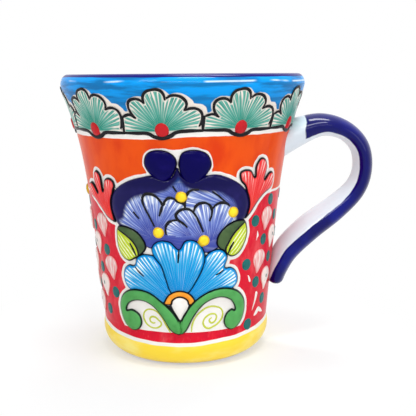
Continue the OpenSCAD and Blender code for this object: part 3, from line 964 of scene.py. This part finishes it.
def make_vessel():
    ob = spun("vessel_body", vessel_profile(), SPIN_STEPS)
    co = coords(ob) / MM
    r = np.hypot(co[:, 0], co[:, 1])
    high = co[:, 2]
    angle = np.arctan2(co[:, 0], -co[:, 1])
    # 1 on the inside, and a little over 0 on the inner half of the lip
    inner = np.where((r < outer_r(high) - 1.5) & (high > 3), 1.0, 0.0)
    on_top = (high > LIP_C[1]) & (r < LIP_C[0])
    inner = np.where(on_top, np.clip((LIP_C[0] - r) / 40, 0, 0.05), inner)
    halo, seam = halo_and_seam(angle, high)
    foot = FOOT_LINE + FOOT_SWING * np.sin(angle) ** 2 + FOOT_WAVE * np.sin(3 * angle + 0.8)
    give(ob, "high", high)
    give(ob, "band", high - BAND_LIFT * np.interp(np.degrees(angle), BAND_TURNS, [0, 1, 1, 0]))
    give(ob, "inner", inner)
    give(ob, "halo", halo)
    give(ob, "seam", seam)
    give(ob, "foot", high - foot)
    give(ob, "sky", sky_gap(angle, high))
    hand_in(ob, make_vessel_glaze(), "vessel_glaze", "vessel")


def make_rim_flower_glaze():
    g = Glaze("rim_flower", srgb(104, 176, 160))
    g.coat_of(strokes(g, 24.0, 0.1, 0.7, 0.5, 0.1), srgb(72, 148, 134))
    g.coat_of(g.ramp(g.wobbled(g.value("reach"), 0.12, 200.0), 0.22, 0.66, 0.95, 0.0), srgb(14, 136, 118))
    g.coat_of(bristles(g, 56.0, 0.42, 1.05, 0.2, 0.5, 0.4), CREAM)
    g.coat_of(g.ramp(g.value("edge"), 0.5, 1.0, 0.7, 0.0), CREAM)
    return g.done()


def rim_lift(points, lifts):
    """How far the drawing of a rim flower rises or dips, left of its red heart, at it and right of it."""
    return np.interp(points[:, 0], [-9, 0, 9], lifts) * np.clip((97 - points[:, 1]) / 6, 0, 1)


def make_rim_flowers():
    slab, edge = motif_slab("rim_flower", RIM_OUTLINE, RIM_CELL, RIM_ROOT)
    co = coords(slab)
    flat = co[:, :2]
    rise = seated(co, RIM_FILM + crown(edge, RIM_TOP, RIM_ROLL))
    post = brush_lines("rim_post", [RIM_POST], POST_HALF)
    scallops = brush_lines("rim_ink", [RIM_SCALLOPS[0][1:], *RIM_SCALLOPS[1:]], SCALLOP_HALF)
    ink = joined("rim_ink", [post, scallops])
    half_turn = math.radians(RIM_PITCH) / 2 * float(wall_r(BELT_Z))
    side = [(half_turn * BELT_LAP, BELT_Z), *BELT_SIDE]
    belt = brush_lines("rim_belt", [[(-u, z) for u, z in side] + [BELT_DIP] + side[::-1]], BELT_HALF)
    flowers = []
    lines = []
    for at, wide, lifts in RIM_PLACES:
        one = copy_of(slab)
        up = flat[:, 1] + rim_lift(flat, lifts)
        set_coords(one, wrapped(flat[:, 0] * wide, up, rise, at))
        flowers.append(one)
        for flat_ink in (ink, belt):
            line = copy_of(flat_ink)
            points = coords(line)
            points[:, 1] += rim_lift(points, lifts)
            set_coords(line, points)
            lines.append(laid(line, on_rim, at, wide))
    for ob in (slab, ink, belt):
        bpy.data.objects.remove(ob)
    hand_in(joined("rim_flowers", flowers), make_rim_flower_glaze(), "vessel_glaze")
    hand_in(joined("rim_lines", lines), INK_GLAZE, "vessel_glaze")


def make_ink():
    g = Glaze("black_line", INK)
    g.mottle(500.0, srgb(48, 46, 52), 0.5, 0.8, 0.5)
    return g.done()


INK_GLAZE = make_ink()

# Paint of the pansy: each painted petal with the point that its brush strokes run from
PANSY_PETALS = [
    ((-8.2, 53.0), [
        (-7.3, 53.8), (-8.7, 56.1), (-10.5, 59.7), (-12.4, 63.4), (-13, 65.6), (-12.4, 67.5), (-10.1, 68.1),
        (-7.8, 67.2), (-6, 65.2), (-4.6, 65.6), (-3, 66.8), (-0.1, 65.6), (2.2, 64.5), (2.6, 62.9),
        (-0.5, 61.1), (-0.8, 60.2), (0.1, 58.6), (-1.9, 58.5), (-3.7, 57.5), (-4.6, 55.6), (-4.4, 53.1),
    ]),
    ((4.2, 52.6), [
        (-4.4, 53.1), (-4.6, 55.6), (-3.7, 57.5), (-1.9, 58.5), (0.1, 58.6), (1.7, 57.5), (3.3, 55.9),
        (4.8, 52.8), (0.5, 52.4),
    ]),
    ((9.6, 49.8), [
        (9, 54), (7.6, 57.5), (6.3, 60.2), (4.9, 62), (3.5, 62.7), (1.3, 62.5), (-0.5, 61.1), (-0.8, 60.2),
        (0.1, 58.6), (1.7, 57.5), (3.3, 55.9), (4.8, 52.8), (8.4, 50.4),
    ]),
    ((11.5, 48.5), [
        (5.6, 61.8), (6.5, 63.8), (8.5, 64.8), (10.6, 64.5), (12.2, 62.7), (14, 64), (16.3, 64.5),
        (18.1, 64), (19.2, 62.9), (21, 58), (16, 51), (9.2, 50.8), (9, 54), (7.6, 57.5), (6.3, 60.2),
    ]),
    ((22.5, 61.5), [
        (2.6, 62.9), (2.6, 65.2), (3.5, 68.4), (4.9, 69.8), (12, 71), (22, 67), (24, 60), (19.6, 60.6),
        (19.2, 62.9), (16.3, 64.5), (12.2, 62.7), (8.5, 64.8), (5.6, 61.8),
    ]),
    ((1.8, 66.0), [
        (2.6, 64), (2.6, 66), (3.5, 69), (4, 72), (-4, 72.6), (-12, 70.4), (-13, 68.4), (-10.1, 68.1),
        (-7.8, 67.2), (-6, 65.2), (-3, 66.8), (-0.1, 65.6),
    ]),
]
PANSY_SIDE_ROOT = (-9.5, 52.0)
PETAL_ROOT = (0, 26)
BUD_ROOTS = {"bud_left": (-27.5, 56), "bud_right": (27.5, 56.5)}
MANTLE = [
    (-24.5, 56.5), (-22.9, 59), (-22.4, 61.1), (-21, 64.3), (-17.8, 67.2), (-13.3, 69), (-8.7, 69.7),
    (-4.6, 71.1), (-1.9, 73.4), (0.5, 76), (4, 72), (9.5, 70.4), (14, 70.2), (17.6, 68.8), (21.3, 66.5),
    (23.1, 63.8), (23.5, 60.6), (23.1, 58.1), (24, 55), (15, 44), (-12, 44),
]
PANSY_LINES = [
    [(-8.7, 56.1), (-10.5, 59.7), (-12.4, 63.4), (-13, 65.6), (-12.4, 67.5), (-10.1, 68.1), (-7.8, 67.2),
     (-6, 65.2), (-5.3, 64.3), (-4.6, 65.6), (-3, 66.8), (-1.5, 66.5), (-0.1, 65.6), (2.2, 64.5),
     (2.6, 62.9)],
    [(-5.5, 64.3), (-6, 62.5), (-6.8, 60)],
    [(2.6, 62.9), (2.6, 65.2), (3.5, 68.4), (4.9, 69.5), (7.6, 69.7)],
    [(9, 54), (7.6, 57.5), (6.3, 60.2), (4.9, 62), (3.5, 62.7), (1.3, 62.5), (-0.5, 61.1), (-0.8, 60.2),
     (0.1, 58.6), (1.7, 57.5), (3.3, 55.9)],
    [(-4.4, 53.1), (-4.6, 55.6), (-3.7, 57.5), (-1.9, 58.5), (0.1, 58.6)],
    [(5.6, 61.8), (6.5, 63.8), (8.5, 64.8), (10.6, 64.5), (12, 62.9), (12.2, 60.6), (11.3, 57.9)],
    [(12.4, 62.5), (14, 64), (16.3, 64.5), (18.1, 64), (19.2, 62.9)],
    [(12.4, 68.8), (14.9, 67), (17.4, 64.7)],
    [(-1.7, 71.1), (-0.3, 69)],
    [(-16.9, 61.1), (-14.6, 58.6)],
]
LEAF_RIBS = {
    "leaf_left": [(-24.8, 53.8), (-20.4, 51.7), (-18.1, 50), (-16.5, 48.1), (-15.6, 45.8), (-15.8, 43.9)],
    "leaf_right": [(26, 56.4), (23.1, 54.4), (20.8, 52.3), (18.7, 49.2), (17.5, 46.5), (18.4, 44.4)],
}
LEAF_STROKE = 1.25
LEAF_VEINS = [[(-19, 49), (-17.8, 47), (-16.5, 44.3)], [(20.9, 49.3), (19.6, 47.4), (18.5, 45)]]
PETAL_LINES = [
    [(0, 47.7), (-0.1, 45.2), (-0.4, 42.5)],
    [(-17.1, 40), (-15.4, 38.2), (-13.5, 36.7)],
    [(16.7, 39), (15.2, 38), (13.5, 37.3)],
]
SPIRALS = [
    [(-3.8, 14.8), (-5.4, 17.7), (-7.3, 21.2), (-9.2, 23.1), (-11.5, 23.7), (-13.5, 22.9), (-14.4, 21.2),
     (-14, 18.8), (-12.3, 16.9), (-10, 16.3), (-7.9, 17.1), (-7.3, 18.3), (-8.5, 19.8), (-10, 20.8),
     (-11.5, 20.4), (-11.7, 19), (-10.6, 18.3), (-9.6, 18.5)],
    [(4, 15.2), (4.4, 18.1), (5.8, 21.2), (8.1, 23.5), (10.8, 24.8), (13.5, 24.6), (15.8, 23.1),
     (16.2, 20.8), (15, 18.5), (12.7, 16.9), (10, 16.3), (8.5, 18.1), (8.7, 19.6), (10, 21.2), (12.1, 21.9),
     (13.5, 21.2), (13.5, 19.6), (12.1, 18.3), (11, 18.8), (11, 19.8), (11.9, 20.4)],
]


def pansy_values(flat):
    """Brush directions of the pansy's painted petals, and how far a point is inside the navy border."""
    mantle = smooth(MANTLE, True, 3)
    values = stroke_values(flat, mantle, PANSY_SIDE_ROOT)
    for at, line in PANSY_PETALS:
        outline = np.array(line, float)
        inside = gap_to(flat, outline) < 0
        own = stroke_values(flat[inside], outline, at)
        far = np.hypot(*(flat[inside] - at).T)
        values["reach"][inside] = np.minimum(own["reach"], 1.25 * far / far.max())
        values["fan"][inside] = own["fan"] + at[0]
    values["mantle"] = gap_to(flat, mantle)
    values["up"] = flat[:, 1]
    return values


def pansy_groove(flat):
    """Shallow grooves under the black lines."""
    best = np.full(len(flat), FAR_OFF)
    for line in PANSY_LINES:
        best = np.minimum(best, np.abs(gap_to_path(flat, smooth(line, False, 3))))
    return 0.22 * np.exp(-((best / 0.7) ** 2))


def make_pansy():
    g = Glaze("violet_pansy", srgb(88, 106, 184))
    reach = g.value("reach")
    up = g.value("up")
    g.mottle(260.0, srgb(66, 82, 164), detail=3.0)
    g.coat_of(g.ramp(reach, 0.1, 0.55, 0.85, 0.0), srgb(54, 66, 152))
    g.coat_of(strokes(g, 27.0, 0.15, 0.7, 0.5, 0.08), srgb(126, 146, 206))
    g.coat_of(strokes(g, 19.0, 0.4, 0.95, 0.5, 0.06), srgb(166, 182, 222))
    g.coat_of(bristles(g, 52.0, 0.55, 1.05, 0.35, 0.35), srgb(230, 236, 244))
    g.coat_of(g.ramp(g.wobbled(up, 1.0, 220.0), 50.6, 53.6, 0.85, 0.0), srgb(58, 68, 154))
    g.coat_of(g.ramp(g.wobbled(up, 0.8, 220.0), 70.2, 73.6), srgb(24, 66, 138))
    mantle = g.wobbled(g.value("mantle"), 0.5, 260.0)
    band = g.mixed(g.ramp(g.noise(150.0), 0.45, 0.75), srgb(18, 14, 78), srgb(32, 26, 96))
    band = g.mixed(g.ramp(up, 68.5, 71.5), band, srgb(8, 4, 70))
    g.coat_of(g.ramp(mantle, -2.7, -0.7), band)
    outlined(g, 0.35, NAVY_DEEP)
    ob = pad("pansy", groove=pansy_groove, extra=pansy_values)
    hand_in(on_both_faces("pansy_relief", ob), g.done(), "pansy_glaze", "pansy")


def make_lobes():
    g = Glaze("navy_lobe", srgb(4, 0, 76), coat=0.08)
    g.coat_of(g.ramp(g.noise(120.0, (1, 1, 2), 4.0), 0.45, 0.75, 0.0, 0.7), srgb(16, 6, 92))
    line = g.ramp(g.wobbled(g.value("edge"), 0.12, 420.0), 0.3, 0.6, 1.0, 0.0)
    g.coat_of(g.times(line, g.ramp(g.value("up"), 74.5, 77.5)), srgb(8, 6, 34))
    material = g.done()
    for key in ("lobe_left", "lobe_right"):
        ob = pad(key, extra=lambda flat: {"up": flat[:, 1]})
        hand_in(on_both_faces(key + "_relief", ob), material, "lobe_glaze", key)


def make_petals():
    g = Glaze("cyan_petal", srgb(6, 144, 210))
    reach = g.value("reach")
    g.coat_of(g.ramp(reach, 0.15, 0.5, 0.85, 0.0), srgb(0, 130, 204))
    g.coat_of(strokes(g, 34.0, 0.25, 0.75, 0.5, 0.1), srgb(46, 168, 222))
    g.coat_of(strokes(g, 23.0, 0.45, 0.85, 0.54, 0.06), srgb(124, 204, 236))
    g.coat_of(bristles(g, 104.0, 0.66, 1.08, 0.1), srgb(240, 248, 250))
    rim = g.times(g.ramp(g.value("edge"), 0.8, 1.3, 1.0, 0.0), g.ramp(reach, 0.6, 0.8))
    g.coat_of(rim, srgb(0, 140, 212))
    outlined(g, 0.38, srgb(20, 46, 66))
    material = g.done()
    for key in ("petal_middle", "petal_left", "petal_right"):
        hand_in(on_both_faces(key + "_relief", pad(key, PETAL_ROOT)), material, "petal_glaze", key)


def make_leaves():
    g = Glaze("two_tone_leaf", srgb(190, 208, 46))
    half = g.value("half")
    g.mottle(300.0, srgb(176, 200, 40))
    slant = g.wobbled(g.wobbled(g.value("slant"), 0.35, 180.0), 0.15, 600.0)
    wave = g.sum("SINE", g.sum("MULTIPLY", slant, 2 * math.pi / LEAF_STROKE))
    white = g.ramp(g.wobbled(wave, 0.9, 260.0), 0.45, 0.8)
    clear = g.times(g.ramp(half, 0.9, 1.5), g.ramp(g.value("edge"), 0.8, 1.3))
    g.coat_of(g.times(white, clear), srgb(240, 244, 200))
    dark = g.mixed(g.ramp(g.noise(220.0), 0.4, 0.75), srgb(74, 98, 60), srgb(58, 82, 50))
    g.coat_of(g.ramp(half, -0.1, 0.12, 1.0, 0.0), dark)
    outlined(g, 0.62)
    material = g.done()
    for key, side in (("leaf_left", -1), ("leaf_right", 1)):
        rib = smooth(LEAF_RIBS[key], False, 4)
        ob = pad(key, extra=lambda flat: {
            "half": side * gap_to_path(flat, rib),
            "slant": flat[:, 0] * 0.75 - side * flat[:, 1] * 0.66,
        })
        hand_in(on_both_faces(key + "_relief", ob), material, "leaf_glaze", key)


def make_buds():
    g = Glaze("red_bud", srgb(228, 44, 50))
    g.coat_of(g.ramp(g.value("reach"), 0.2, 0.7, 0.6, 0.0), srgb(230, 52, 36))
    g.coat_of(strokes(g, 30.0, 0.2, 0.8, 0.5, 0.08), srgb(236, 92, 88))
    g.coat_of(bristles(g, 80.0, 0.66, 1.05, 0.3), srgb(246, 206, 200))
    g.coat_of(g.ramp(g.value("edge"), 0.9, 1.4, 0.8, 0.0), srgb(226, 46, 50))
    outlined(g, 0.74)
    material = g.done()
    for key, root in BUD_ROOTS.items():
        hand_in(on_both_faces(key + "_relief", pad(key, root)), material, "bud_glaze", key)


def make_plain(keys, name, colour, shade, slot, line, width):
    """Pads of one colour with a painted outline, left out where the two scrolls join."""
    g = Glaze(name, colour)
    g.mottle(240.0, shade, 0.42, 0.75, 0.7, 3.0)
    outlined(g, width, line, g.ramp(g.value("join"), 0.9, 1.5))
    material = g.done()
    for key in keys:
        ob = pad(key, extra=lambda flat: {"join": np.abs(gap_to_path(flat, np.array(SCROLL_JOIN)))})
        hand_in(on_both_faces(key + "_relief", ob), material, slot, key)


def make_panel_paint():
    """Black lines, veins and lime spirals of both panels."""
    narrow = brush_lines("thin_lines", PETAL_LINES + list(LEAF_RIBS.values()))
    bold = brush_lines("bold_lines", PANSY_LINES + LEAF_VEINS, INK_BOLD, 0.25)
    lines = laid(joined("panel_lines", [narrow, bold]), lambda flat: relief_at(flat) + LINE_LIFT)
    hand_in(on_both_faces("panel_lines", lines), INK_GLAZE, "vessel_glaze")
    g = Glaze("lime_line", srgb(194, 204, 72))
    g.mottle(400.0, srgb(212, 220, 120), 0.5)
    spirals = laid(brush_lines("spirals", SPIRALS, SPIRAL_HALF), on_bare_wall)
    hand_in(on_both_faces("spirals", spirals), g.done(), "vessel_glaze")


def circle(r, n=20):
    """Points of a circle about a spot."""
    return arc((0, 0), r, r, 0, 360 * (n - 1) / n, n)


def clear_of_low_root(at, face, r):
    """Whether a round spot on the side of the mug keeps clear of the handle's lower root."""
    u, z = at
    wall = float(wall_r(z))
    turn = (math.degrees(u / wall) + face - HANDLE_AT + 180) % 360 - 180
    off = math.radians(abs(turn)) * wall
    aside = off > STRAP_W / 2 + r + CLAY_GAP
    return aside or abs(z - HANDLE_LOW - STRAP_T / 2) > LOW_ROOT_HALF + r + CLAY_GAP


def lattice_spots(first, steps, sign):
    """Places of the lattice, counted in its two steps from the first one."""
    places = [first + a * STEP_A + b * STEP_B for a, b in steps]
    return [(sign * u, z) for u, z in places]


def make_lattice_petals():
    """Pale raised petals: streaked ones near the panel, and plain ones with a dark tick past them."""
    g = Glaze("lattice_petal", srgb(238, 222, 216))
    plain = g.value("plain")
    reach = g.value("reach")
    streaked = g.sum("SUBTRACT", 1.0, plain)
    g.coat_of(g.times(streaked, strokes(g, 8.0, -0.4, 0.5, 0.5, 0.08)), srgb(230, 148, 148))
    g.coat_of(g.times(streaked, g.ramp(reach, 0.1, 0.5, 0.7, 0.0)), srgb(230, 136, 138))
    g.coat_of(g.ramp(g.value("edge"), 0.1, 0.6, 0.7, 0.0), srgb(234, 150, 148))
    aside = g.sum("ABSOLUTE", g.sum("SUBTRACT", g.value("fan"), TICK_FAN))
    tick = g.times(g.above(reach, 0.58, 0.02), g.below(reach, 0.7, 0.02), plain)
    g.coat_of(g.times(tick, g.below(aside, 0.07, 0.02)), srgb(70, 110, 104))
    cells = lattice_spots(RIGHT_CELL, RIGHT_STEPS, 1) + lattice_spots(LEFT_CELL, LEFT_STEPS, -1)
    spots = []
    for face in FACES:
        for cell in cells:
            if clear_of_low_root(cell, face, LATTICE_PETAL_R):
                spots.append((*cell, face, math.copysign(1, cell[0])))
    kinds = []
    for kind in (0, 1):
        some = [spot for spot in spots if (abs(spot[0]) > PLAIN_PAST[spot[3]]) == bool(kind)]
        size = (LATTICE_TOP, LATTICE_ROLL, LATTICE_CELL)
        petals = stamped("petals", LATTICE_PETAL, some, *size, PETAL_POINT)
        give(petals, "plain", np.full(len(petals.data.vertices), kind))
        kinds.append(petals)
    hand_in(joined("lattice_relief", kinds), g.done(), "lattice_glaze", "lattice_petals")


def make_lattice_dots():
    g = Glaze("teal_dot", srgb(30, 104, 102))
    g.mottle(420.0, srgb(20, 80, 82), most=0.7)
    steps = [(a, b) for a in range(-3, 5) for b in range(-2, 4)]
    spots = []
    for face in FACES:
        for spot in lattice_spots(RIGHT_DOT, steps, 1) + lattice_spots(LEFT_DOT, steps, -1):
            if lattice_holds(spot) and clear_of_low_root(spot, face, DOT_R):
                spots.append((spot[0], min(spot[1], DOT_TOP), face, 1))
    dots = stamped("lattice_dots", circle(DOT_R), spots, DOT_RISE, DOT_ROLL, DOT_CELL)
    hand_in(dots, g.done(), "vessel_glaze")


def make_lattice_chips():
    """Small spots of the white ground that the red leaves bare."""
    g = Glaze("bare_chip", WHITE)
    g.mottle(500.0, srgb(240, 190, 190), 0.5, 0.8)
    spots = [(0, 0, face, 1) for face in FACES]
    chips = [stamped("chip", line, spots, CHIP_RISE, CHIP_ROLL, CHIP_CELL) for line in LATTICE_CHIPS]
    hand_in(joined("lattice_chips", chips), g.done(), "vessel_glaze")


def lattice_holds(spot):
    """Whether a dot lies in the red side field, clear of the panel and of the bands."""
    u, z = abs(spot[0]), spot[1]
    angle = u / float(wall_r(z))
    low = DOT_LOW + FOOT_SWING * math.sin(angle) ** 2 if u > DOT_LOW_PAST else HALO_LOW
    if not low < z < DOT_TOP + 1.5 or angle > math.pi / 2:
        return False
    point = np.array([spot])
    return min(gap_to(point, smooth(line, True, 4))[0] for line in LINES.values()) > DOT_R + 1.0


def make_beads():
    g = Glaze("yellow_bead", srgb(250, 222, 48))
    g.mottle(420.0, srgb(240, 194, 20))
    # Painted shade: the yellow darkens towards the edge of each bead
    g.coat_of(g.ramp(g.value("edge"), 0.4, 1.5, 0.9, 0.0), srgb(206, 156, 14))
    material = g.done(0.08, 520.0)
    spots = [(u, z, face, 1) for face in FACES for u, z in BEAD_SPOTS]
    beads = stamped("panel_bead_relief", circle(BEAD_R), spots, BEAD_RISE, BEAD_R, BEAD_CELL)
    hand_in(beads, material, "bead_glaze", "panel_beads")
    spots = [(0, SIDE_BEAD_Z, SIDE_BEAD_TURN, 1)]
    side = stamped("side_bead_relief", circle(SIDE_BEAD_R), spots, SIDE_BEAD_RISE, SIDE_BEAD_R, BEAD_CELL)
    hand_in(side, material, "bead_glaze", "side_beads")


def make_hearts():
    """Red hearts of the rim flowers."""
    g = Glaze("red_heart", srgb(192, 30, 36))
    g.mottle(260.0, srgb(176, 22, 32), most=0.7)
    spots = [(0, RIM_Z + lifts[1], at, 1) for at, _, lifts in RIM_PLACES]
    hearts = stamped("rim_hearts", circle(RIM_HEART_R), spots, HEART_RISE, HEART_ROLL, HEART_CELL)
    hand_in(hearts, g.done(), "rim_bead_glaze", "rim_beads")


def unit(ways):
    return ways / np.linalg.norm(ways, axis=1)[:, None]


def strap_path():
    """Middle of the strap in the plane of the handle, and the way ahead at each station."""
    knots = []
    for out, up in HANDLE_LINE:
        z = HANDLE_LOW + up * (HANDLE_TOP - HANDLE_LOW)
        knots.append((float(wall_r(z)) + out * HANDLE_OUT, z))
    path = smooth(knots, False, 9)
    longer = np.concatenate([path[:1], path, path[-1:]])
    ahead = unit(longer[2:] - longer[:-2])
    level_out = np.linspace(1, 0, ROOT_RINGS)[:, None]
    ahead[:ROOT_RINGS] = level_out * (1, 0) + (1 - level_out) * ahead[:ROOT_RINGS]
    return path, unit(ahead)


def make_handle_glaze():
    """Navy over the back of the strap, with the white ground left inside the loop and at the upper root."""
    g = Glaze("navy_strap", srgb(216, 229, 237), coat=0.38)
    shade = g.ramp(g.noise(90.0, detail=3.0), 0.4, 0.75, 0.0, 0.8)
    navy = g.mixed(shade, srgb(0, 2, 92), srgb(4, 18, 126))
    outer = g.above(g.wobbled(g.value("around"), 0.12, 130.0), -0.56, 0.04)
    start = g.above(g.wobbled(g.value("out"), 1.2, 150.0), 47.9, 0.3)
    past_root = g.sum("MAXIMUM", start, g.above(g.value("along"), 0.51, 0.01))
    g.coat_of(g.times(outer, past_root), navy)
    return g.done()


def make_handle():
    """The strap: a disc extruded station by station, then each ring set to its section on the path."""
    path, ahead = strap_path()
    deselect()
    bpy.ops.mesh.primitive_circle_add(vertices=STRAP_SIDES, radius=10 * MM, fill_type="NGON")
    ob = bpy.context.object
    ob.name = "strap"
    bpy.ops.object.mode_set(mode="EDIT")
    bpy.ops.mesh.select_all(action="SELECT")
    for _ in path[1:]:
        bpy.ops.mesh.extrude_region_move(TRANSFORM_OT_translate={"value": (0, 0, MM)})
    bpy.ops.object.mode_set(mode="OBJECT")
    co = coords(ob)
    level = np.rint(co[:, 2] / MM).astype(int)
    phase = np.arctan2(co[:, 1], co[:, 0])
    share = np.linspace(0, 1, len(path))
    swell = np.maximum(0, 1 - share / ROOT_SHARE) ** 2
    left = np.minimum(1, (1 - share) / TIP_SHARE)
    tip = np.maximum(TIP_LEAST, np.sqrt(1 - (1 - left) ** 2))
    thick = (STRAP_T + ROOT_T * swell) * tip
    wide = (STRAP_W + ROOT_W * swell) * tip
    c, s = np.cos(phase), np.sin(phase)
    off_run = np.clip((share - RUN_AT) / RUN_HALF, -1, 1)
    fuller = np.cos(off_run * math.pi / 2)[level] ** 2
    around = np.sign(c) * np.abs(c) ** STRAP_ROUND * (1 + fuller * np.where(c < 0, RUN_INNER, RUN_OUTER))
    dt = thick[level] / 2 * around
    dy = wide[level] / 2 * np.sign(s) * np.abs(s) ** STRAP_ROUND
    at = path[level]
    along = ahead[level]
    out = at[:, 0] - along[:, 1] * dt
    set_coords(ob, np.column_stack([out, dy, at[:, 1] + along[:, 0] * dt]) * MM)
    turn_faces_out(ob)
    give(ob, "around", around)
    give(ob, "along", share[level])
    give(ob, "out", out)
    hand_in(ob, make_handle_glaze(), "handle_glaze", "handle")


def seen_rays(tree, *names):
    """1 for the rays that show the surround as white."""
    rays = tree.nodes.new("ShaderNodeLightPath")
    seen = rays.outputs[names[0]]
    for name in names[1:]:
        either = tree.nodes.new("ShaderNodeMath")
        either.operation = "MAXIMUM"
        tree.links.new(seen, either.inputs[0])
        tree.links.new(rays.outputs[name], either.inputs[1])
        seen = either.outputs[0]
    return seen


def mix_to_surface(tree, factor, first, second, output):
    """Mixes two shaders into the surface of a material or of the world."""
    mix = tree.nodes.new("ShaderNodeMixShader")
    for source, socket in zip((factor, first.outputs[0], second.outputs[0]), mix.inputs):
        tree.links.new(source, socket)
    tree.links.new(mix.outputs[0], tree.nodes[output].inputs["Surface"])


def make_floor():
    """A pale floor that keeps the shadow under the mug and fades to white past it."""
    deselect()
    bpy.ops.mesh.primitive_circle_add(vertices=96, radius=6, fill_type="NGON", location=(0, 0, 0))
    floor = bpy.context.object
    floor.name = "floor"
    material = bpy.data.materials.new("pale_floor")
    material.use_nodes = True
    tree = material.node_tree
    shader = tree.nodes["Principled BSDF"]
    shader.inputs["Base Color"].default_value = (0.88, 0.88, 0.88, 1)
    shader.inputs["Roughness"].default_value = 0.8
    light = tree.nodes.new("ShaderNodeEmission")
    light.inputs["Color"].default_value = (1, 1, 1, 1)
    place = tree.nodes.new("ShaderNodeTexCoord")
    length = tree.nodes.new("ShaderNodeVectorMath")
    length.operation = "LENGTH"
    tree.links.new(place.outputs["Object"], length.inputs[0])
    fade = tree.nodes.new("ShaderNodeMapRange")
    fade.interpolation_type = "SMOOTHSTEP"
    fade.inputs["From Min"].default_value = 0.034
    fade.inputs["From Max"].default_value = 0.1
    fade.inputs["To Min"].default_value = 0.52
    tree.links.new(length.outputs["Value"], fade.inputs["Value"])
    factor = tree.nodes.new("ShaderNodeMath")
    factor.operation = "MULTIPLY"
    tree.links.new(fade.outputs[0], factor.inputs[0])
    tree.links.new(seen_rays(tree, "Is Camera Ray", "Is Glossy Ray"), factor.inputs[1])
    mix_to_surface(tree, factor.outputs[0], shader, light, "Material Output")
    floor.data.materials.append(material)


def make_world():
    """Soft light from all round, and a surround that is seen as white."""
    world = bpy.data.worlds.new("studio")
    bpy.context.scene.world = world
    world.use_nodes = True
    tree = world.node_tree
    soft = tree.nodes["Background"]
    soft.inputs["Color"].default_value = (0.97, 0.98, 1, 1)
    soft.inputs["Strength"].default_value = 0.38
    white = tree.nodes.new("ShaderNodeBackground")
    white.inputs["Color"].default_value = (1, 1, 1, 1)
    white.inputs["Strength"].default_value = 1
    seen = seen_rays(tree, "Is Camera Ray", "Is Glossy Ray", "Is Transmission Ray")
    mix_to_surface(tree, seen, soft, white, "World Output")


# Lamps as (name, place, width, height, power in watts), all turned to the middle of the mug
LAMPS = [
    ("key", (-0.35, -0.55, 0.6), 0.2, 0.24, 1.35),
    ("strip", (0.06, -0.62, 0.47), 0.5, 0.03, 0.9),
    ("fill", (0.6, -0.4, 0.35), 0.3, 0.4, 0.9),
    ("top", (0.1, -0.24, 0.72), 0.3, 0.14, 2.4),
    ("back", (0.09, 0.22, 0.72), 0.34, 0.14, 2.9),
]
LAMPS_AIM = Vector((0, 0, 0.06))


def make_lamps():
    for name, at, wide, tall, power in LAMPS:
        data = bpy.data.lights.new(name, "AREA")
        data.shape = "RECTANGLE"
        data.size = wide
        data.size_y = tall
        data.energy = power
        lamp = bpy.data.objects.new(name, data)
        bpy.context.collection.objects.link(lamp)
        lamp.location = at
        lamp.rotation_mode = "QUATERNION"
        lamp.rotation_quaternion = (LAMPS_AIM - Vector(at)).to_track_quat("-Z", "Y")


def make_camera():
    """The photograph's view: from the front, a little above, turned by a few degrees."""
    turn = math.radians(3.5)
    yaw = math.radians(1.815)
    pitch = math.radians(10.319)
    roll = math.radians(-0.373)
    back = 0.3
    high = 0.1107
    data = bpy.data.cameras.new("camera")
    data.lens = 64.73
    data.sensor_width = 36
    camera = bpy.data.objects.new("camera", data)
    bpy.context.collection.objects.link(camera)
    camera.location = (back * math.sin(turn), -back * math.cos(turn), high)
    way = yaw - turn
    look = Vector((math.sin(way) * math.cos(pitch), math.cos(way) * math.cos(pitch), -math.sin(pitch)))
    camera.rotation_mode = "QUATERNION"
    camera.rotation_quaternion = look.to_track_quat("-Z", "Y") @ Quaternion((0, 0, 1), roll)
    bpy.context.scene.camera = camera


make_vessel()
make_rim_flowers()
make_pansy()
make_lobes()
make_petals()
make_leaves()
make_buds()
make_plain(
    ("scroll_left", "scroll_right"), "green_scroll", srgb(84, 164, 88), srgb(66, 142, 70), "scroll_glaze",
    srgb(26, 44, 34), 0.58,
)
make_plain(("arch",), "orange_arch", srgb(246, 162, 52), srgb(238, 136, 36), "arch_glaze", INK, 0.46)
make_plain(("drop",), "white_drop", WHITE, CREAM, "drop_glaze", srgb(34, 36, 36), 0.46)
make_panel_paint()
make_lattice_petals()
make_lattice_dots()
make_lattice_chips()
make_beads()
make_hearts()
make_handle()
make_floor()
make_world()
make_lamps()
make_camera()

bpy.context.scene.view_settings.view_transform = "Standard"
